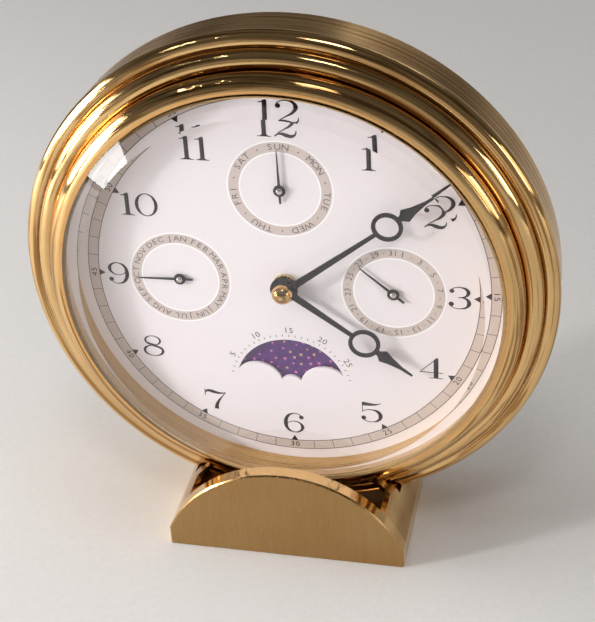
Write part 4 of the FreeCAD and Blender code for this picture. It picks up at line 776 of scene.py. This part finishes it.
month_signs = []
MONTHS = ("JAN", "FEB", "MAR", "APR", "MAY", "JUN", "JUL", "AUG", "SEP", "OCT", "NOV", "DEC")
for i, month in enumerate(MONTHS):
    month_signs += ring_word(month, MONTH_TEXT, MONTH_CENTRE, RING_TEXT, i * 30, MONTH_SPACING)
print_piece("month_words", month_signs, ink_grey, FIGURE_LAYER)

date_signs = []
for date in range(1, 32):
    angle = date * 360 / 31
    if date % 2:
        date_signs += ring_word(
            str(date), DATE_TEXT, DATE_CENTRE, RING_TEXT, angle, DATE_SPACING, DATE_STRETCH
        )
    else:
        date_signs.append(disc(DATE_DOT, clock_point(RING_TEXT, angle, DATE_CENTRE), 8))
print_piece("date_numbers", date_signs, ink_grey, FIGURE_LAYER)

# %% [markdown]
# ## The hour numbers
#
# The hours are in a letter with thick stems and hair-thin joins, and with round balls at the ends of
# its curves. The built-in font has no such letter, so each figure is drawn like handwriting: a curve
# with a width at each point, laid flat. A figure is one unit high, and is then scaled.


# %% Pen strokes
def pen_stroke(points, size, shift, closed=False, height=0.0):
    """A flat stroke through (x, y, width) points, scaled by size in mm and moved by shift in mm."""
    deselect()
    bpy.ops.curve.primitive_bezier_curve_add()
    stroke = bpy.context.object
    line = stroke.data
    line.twist_mode = "Z_UP"
    line.extrude = 0.5
    spline = line.splines[0]
    spline.use_cyclic_u = closed
    spline.resolution_u = 8
    spline.bezier_points.add(len(points) - 2)
    for knot, (x, y, width) in zip(spline.bezier_points, points):
        knot.co = ((x * size + shift[0]) * MM, (y * size + shift[1]) * MM, height)
        knot.handle_left_type = knot.handle_right_type = "AUTO"
        knot.radius = width * size * MM
        knot.tilt = math.radians(90)
    bpy.ops.object.convert(target="MESH")
    return bpy.context.object


def oval(centre, half_width, half_height, thin, thick, knots=12):
    """Points of a closed oval, thick at its sides and thin above and below."""
    points = []
    for i in range(knots):
        angle = 2 * math.pi * i / knots
        side = math.cos(angle)
        width = thin + (thick - thin) * side * side
        points.append((centre[0] + half_width * side, centre[1] + half_height * math.sin(angle), width))
    return points


HAIR = 0.032
SIX = [
    (0.79, 0.86, 0.05), (0.64, 0.965, HAIR), (0.44, 0.965, 0.05), (0.22, 0.80, 0.13),
    (0.13, 0.47, 0.17), (0.22, 0.15, 0.11), (0.46, 0.02, HAIR), (0.70, 0.07, 0.07),
    (0.83, 0.29, 0.15), (0.70, 0.51, 0.06), (0.50, 0.575, HAIR), (0.30, 0.52, HAIR), (0.16, 0.40, HAIR),
]
FIGURES = {
    "0": {"wide": 0.90, "rings": [oval((0.45, 0.5), 0.385, 0.485, HAIR, 0.14)]},
    "1": {
        "wide": 0.56,
        "strokes": [
            [(0.29, 0.02, 0.17), (0.29, 0.50, 0.17), (0.29, 0.95, 0.17)],
            [(0.05, 0.875, HAIR), (0.16, 0.885, 0.045), (0.27, 0.93, 0.10), (0.36, 0.985, 0.03)],
            [(0.03, 0.015, HAIR), (0.28, 0.015, HAIR), (0.55, 0.015, HAIR)],
            [(0.13, 0.025, HAIR), (0.29, 0.06, 0.12), (0.45, 0.025, HAIR)],
        ],
    },
    "2": {
        "wide": 0.95,
        "balls": [(0.16, 0.765, 0.098)],
        "strokes": [
            [
                (0.085, 0.80, 0.04), (0.20, 0.93, HAIR), (0.45, 0.985, 0.04), (0.70, 0.92, 0.11),
                (0.80, 0.73, 0.165), (0.70, 0.52, 0.11), (0.45, 0.34, 0.05), (0.22, 0.18, HAIR), (0.09, 0.03, HAIR),
            ],
            [
                (0.08, 0.035, 0.05), (0.18, 0.12, 0.06), (0.32, 0.15, 0.10), (0.52, 0.09, 0.16),
                (0.72, 0.06, 0.13), (0.86, 0.15, 0.06), (0.90, 0.31, 0.025),
            ],
        ],
    },
    "3": {
        "wide": 0.95,
        "balls": [(0.17, 0.805, 0.092), (0.15, 0.215, 0.102)],
        "strokes": [
            [
                (0.10, 0.83, 0.04), (0.28, 0.955, HAIR), (0.52, 0.98, 0.045), (0.75, 0.88, 0.12),
                (0.80, 0.74, 0.15), (0.72, 0.60, 0.08), (0.55, 0.535, HAIR), (0.42, 0.525, HAIR),
            ],
            [
                (0.42, 0.525, HAIR), (0.58, 0.52, 0.04), (0.77, 0.43, 0.11), (0.83, 0.27, 0.165),
                (0.74, 0.10, 0.09), (0.50, 0.018, HAIR), (0.26, 0.04, HAIR), (0.08, 0.17, 0.04),
            ],
        ],
    },
    "4": {
        "wide": 0.98,
        "strokes": [
            [(0.68, 0.02, 0.185), (0.68, 0.50, 0.185), (0.68, 0.90, 0.185)],
            [(0.63, 0.87, 0.06), (0.70, 0.92, 0.12), (0.76, 0.985, 0.03)],
            [(0.70, 0.94, HAIR), (0.38, 0.63, HAIR), (0.06, 0.30, HAIR)],
            [(0.04, 0.29, 0.06), (0.14, 0.285, HAIR), (0.50, 0.28, HAIR), (0.95, 0.28, HAIR)],
            [(0.40, 0.015, HAIR), (0.68, 0.015, HAIR), (0.96, 0.015, HAIR)],
        ],
    },
    "5": {
        "wide": 0.95,
        "balls": [(0.14, 0.20, 0.10)],
        "strokes": [
            [(0.085, 0.905, 0.19), (0.30, 0.885, 0.15), (0.55, 0.885, 0.10), (0.76, 0.925, 0.05), (0.86, 0.975, 0.02)],
            [(0.095, 0.95, 0.03), (0.095, 0.70, 0.03), (0.095, 0.50, 0.03)],
            [
                (0.09, 0.50, HAIR), (0.25, 0.595, HAIR), (0.50, 0.615, 0.05), (0.76, 0.50, 0.14),
                (0.83, 0.31, 0.165), (0.74, 0.11, 0.10), (0.50, 0.018, HAIR), (0.26, 0.035, HAIR), (0.07, 0.15, 0.04),
            ],
        ],
    },
    "6": {"wide": 0.95, "balls": [(0.80, 0.79, 0.098)], "strokes": [SIX]},
    "7": {
        "wide": 0.98,
        "strokes": [
            [(0.065, 0.66, 0.025), (0.07, 0.83, 0.045), (0.065, 0.99, 0.03)],
            [
                (0.075, 0.85, 0.07), (0.20, 0.92, 0.12), (0.40, 0.885, 0.155), (0.62, 0.83, 0.11),
                (0.80, 0.835, 0.06), (0.94, 0.875, 0.03),
            ],
            [(0.93, 0.87, HAIR), (0.78, 0.66, 0.045), (0.62, 0.42, 0.10), (0.53, 0.20, 0.15), (0.51, 0.015, 0.19)],
        ],
    },
    "8": {
        "wide": 0.95,
        "rings": [oval((0.46, 0.76), 0.31, 0.222, HAIR, 0.085), oval((0.47, 0.265), 0.385, 0.25, HAIR, 0.11)],
        "strokes": [
            [(0.20, 0.66, 0.05), (0.34, 0.58, 0.10), (0.50, 0.525, 0.13), (0.66, 0.46, 0.09), (0.80, 0.36, 0.04)],
        ],
    },
}
nine_points = [(0.95 - x, 1.0 - y, width) for x, y, width in SIX]
FIGURES["9"] = {"wide": 0.95, "balls": [(0.15, 0.21, 0.098)], "strokes": [nine_points]}
print("figures drawn:", sorted(FIGURES))


# %% Hour numbers
HOUR_HEIGHT, FIGURE_GAP = 6.8, 0.05
STROKE_STEP = 0.0003 * MM


def figure(sign, size, shift, height):
    """All strokes and balls of one figure, each a hair higher than the last."""
    drawing = FIGURES[sign]
    pieces = []
    for points in drawing.get("rings", []):
        pieces.append(pen_stroke(points, size, shift, True, height + len(pieces) * STROKE_STEP))
    for points in drawing.get("strokes", []):
        pieces.append(pen_stroke(points, size, shift, False, height + len(pieces) * STROKE_STEP))
    for x, y, radius in drawing.get("balls", []):
        place = (x * size + shift[0], y * size + shift[1])
        pieces.append(disc(radius * size, place, 24, height + len(pieces) * STROKE_STEP))
    return pieces


def hour_number(text, centre):
    """A number of one or two figures, centred on its place."""
    gap = FIGURE_GAP * HOUR_HEIGHT
    widths = [FIGURES[sign]["wide"] * HOUR_HEIGHT for sign in text]
    x = centre[0] - 0.5 * (sum(widths) + gap * (len(text) - 1))
    pieces = []
    for sign, width in zip(text, widths):
        pieces += figure(sign, HOUR_HEIGHT, (x, centre[1] - 0.5 * HOUR_HEIGHT), len(pieces) * STROKE_STEP)
        x += width + gap
    return pieces


HOUR_PLACES = {
    "12": (0.1, 47.3), "1": (23.1, 39.3), "2": (39.8, 23.8), "3": (46.2, 0.0),
    "4": (38.7, -22.9), "5": (22.2, -39.5), "6": (0.0, -45.5), "7": (-22.2, -39.7),
    "8": (-38.7, -23.1), "9": (-46.2, 0.0), "10": (-38.3, 21.9), "11": (-21.9, 39.5),
}
hour_parts = []
for text, centre in HOUR_PLACES.items():
    hour_parts += hour_number(text, centre)
print_piece("hour_numbers", hour_parts, ink_black, FIGURE_LAYER)

# %% [markdown]
# ## Caps on the small hands
#
# Each small hand is pressed on its arbor and closed by a tiny polished cap, which shows as a bright
# spot. A cap is half of a ball, cut by a bisect, and pressed flatter.

# %% Small caps
CAP_RADIUS, CAP_HEIGHT = 0.9, 0.55
BODY_OF_HAND = {"day": "weekday", "date": "date", "month": "month"}


def small_cap(name, centre, body):
    """A domed cap on the front of a small hand, which body names, riding with that hand."""
    deselect()
    bpy.ops.mesh.primitive_uv_sphere_add(segments=28, ring_count=16, radius=CAP_RADIUS * MM)
    cap = bpy.context.object
    bpy.ops.object.mode_set(mode="EDIT")
    bpy.ops.mesh.select_all(action="SELECT")
    bpy.ops.mesh.bisect(plane_co=(0, 0, 0), plane_no=(0, 0, 1), use_fill=True, clear_inner=True)
    bpy.ops.mesh.select_all(action="SELECT")
    bpy.ops.transform.resize(value=(1.0, 1.0, CAP_HEIGHT / CAP_RADIUS))
    bpy.ops.mesh.normals_make_consistent(inside=False)
    bpy.ops.object.mode_set(mode="OBJECT")
    bpy.ops.object.shade_smooth_by_angle(angle=math.radians(50))
    cap.location = (centre[0] * MM, centre[1] * MM, 0)
    settle(cap)
    return stand_on(cap, name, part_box(body + "_hand")[0].y, finishes["nickel"], BODY_OF_HAND[body])


for name, centre in SMALL_DIALS.items():
    cap = small_cap(f"{name}_hand_cap", centre, name)
    print(cap.name, "front at y", round(min(v.co.y for v in cap.data.vertices) / MM, 3), "mm")

# %% [markdown]
# ## The lip round the glass
#
# Where the inmost bead meets the glass, the brass ends in a narrow flat lip, cut last on the lathe and
# left very bright. It is a thin ring of its own, so that it can have its own, redder finish.

# %% Lip
GLASS_RADIUS = 0.5 * (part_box("glass")[1].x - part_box("glass")[0].x) / MM
LIP_WIDTH, LIP_FRONT, LIP_THICKNESS = 1.1, -15.2, 0.06
LIP_AIR, GLASS_AIR = 0.005, 0.02  # from the brass behind it and from the glass
lip_brass = speckled("lip_brass", (0.78, 0.42, 0.15), (0.84, 0.49, 0.20), 0.14, 500.0, 0.001 * MM, 1.0)
lip = flat_ring(GLASS_RADIUS + LIP_WIDTH, GLASS_RADIUS + GLASS_AIR, corners=240)
apply_modifier(lip, "SOLIDIFY", thickness=LIP_THICKNESS * MM, offset=0.0)
stand_on(lip, "bezel_lip", (LIP_FRONT - 0.5 * LIP_THICKNESS - LIP_AIR) * MM, lip_brass, "case")
print("lip from", round(GLASS_RADIUS, 2), "to", round(GLASS_RADIUS + LIP_WIDTH, 2), "mm")

# %% [markdown]
# ## The moon
#
# Over the moon window runs a scale of the moon's age in days, with a short line for each day and a
# number at each fifth. Behind the window turns the painted disc: a night sky with rose and gold
# stars, and two gold moons, half a turn apart, that pass behind the two humps.

# %% Moon scale
MOON_CENTRE = (0.0, -32.9)
DAY_ANGLE, FIRST_DAY, MIDDLE_DAY, LAST_DAY = 6.0, 2, 15, 28
SCALE_RADIUS, SCALE_LENGTH, SCALE_WIDTH = 16.75, 0.66, 0.2
SCALE_TEXT_RADIUS, SCALE_TEXT, SCALE_SPACING = 18.45, 2.4, 1.4
moon_lines, moon_numbers = [], []
for day in range(FIRST_DAY, LAST_DAY + 1):
    angle = (day - MIDDLE_DAY) * DAY_ANGLE
    place = clock_point(SCALE_RADIUS, angle, MOON_CENTRE)
    moon_lines.append(bar(SCALE_LENGTH, SCALE_WIDTH, place, angle))
    if day % 5 == 0:
        moon_numbers += ring_word(
            str(day), SCALE_TEXT, MOON_CENTRE, SCALE_TEXT_RADIUS, angle, SCALE_SPACING, 1.1
        )
print_piece("moon_scale_lines", moon_lines, ink_grey, LINE_LAYER)
print_piece("moon_scale_numbers", moon_numbers, ink_grey, FIGURE_LAYER)


# %% Painted sky
STAR_COUNT, STAR_SPACING, GOLD_SHARE = 92, 2.0, 0.22
STAR_RADII, STAR_WAIST = (0.35, 0.75), 0.45
SKY_RADIUS, MOON_RADIUS, MOON_CLEAR = 15.9, 5.8, 6.6
MOON_PLACES = ((-9.4, -32.9), (9.4, -32.9))


def star(radius, place, degrees):
    """A five-pointed star: a circle of ten corners, every second one drawn in."""
    piece = disc(radius, place, 10)
    middle = Vector((place[0] * MM, place[1] * MM, 0.0))
    for vertex in piece.data.vertices:
        arm = vertex.co - middle
        if vertex.index % 2:
            arm *= STAR_WAIST
        arm.rotate(Matrix.Rotation(math.radians(degrees), 3, "Z"))
        vertex.co = middle + arm
    return piece


gold_paint = speckled("gold_paint", (0.62, 0.38, 0.16), (0.74, 0.50, 0.26), 0.35, 900.0, 0.002 * MM, 0.5)
rose_paint = speckled("rose_paint", (0.55, 0.12, 0.32), (0.68, 0.20, 0.42), 0.4, 900.0, 0.001 * MM)
sky_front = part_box("moon_disc")[0].y
dice = random.Random(29)
stars = {"gold": [], "rose": []}
placed = []
while len(placed) < STAR_COUNT:
    place = clock_point(SKY_RADIUS * math.sqrt(dice.random()), 360 * dice.random(), MOON_CENTRE)
    free = all(math.dist(place, other) > STAR_SPACING for other in placed)
    if free and all(math.dist(place, moon) > MOON_CLEAR for moon in MOON_PLACES):
        placed.append(place)
        kind = "gold" if dice.random() < GOLD_SHARE else "rose"
        stars[kind].append(star(dice.uniform(*STAR_RADII), place, dice.uniform(0, 72)))
print_piece("stars_gold", stars["gold"], gold_paint, LINE_LAYER, sky_front, "moon")
print_piece("stars_rose", stars["rose"], rose_paint, LINE_LAYER, sky_front, "moon")
moons = [disc(MOON_RADIUS, place, 64) for place in MOON_PLACES]
print_piece("moons", moons, gold_paint, BAND_LAYER, sky_front, "moon")

# %% [markdown]
# ## The floor
#
# A wide sheet of pale paper board. It is stage, so it isn't part of the clock.

# %% Floor
FLOOR_SIZE, FLOOR_TOP = 8.0, -0.0002
deselect()
bpy.ops.mesh.primitive_plane_add(size=FLOOR_SIZE, location=(0, 0, FLOOR_TOP))
floor = bpy.context.object
floor.name = "floor"
floor.data.materials.append(speckled("pale_board", (0.84, 0.82, 0.80), (0.88, 0.86, 0.84), 0.75, 700.0, 0.01 * MM))
floor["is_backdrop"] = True
print("floor:", FLOOR_SIZE, "m wide")

# %% [markdown]
# ## The size of the model
#
# The box of the finished model, without the floor, is printed in millimetres.

# %% Size of the model
low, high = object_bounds()
print("visual box in mm:", [round(v / MM, 2) for v in (*low, *high)])
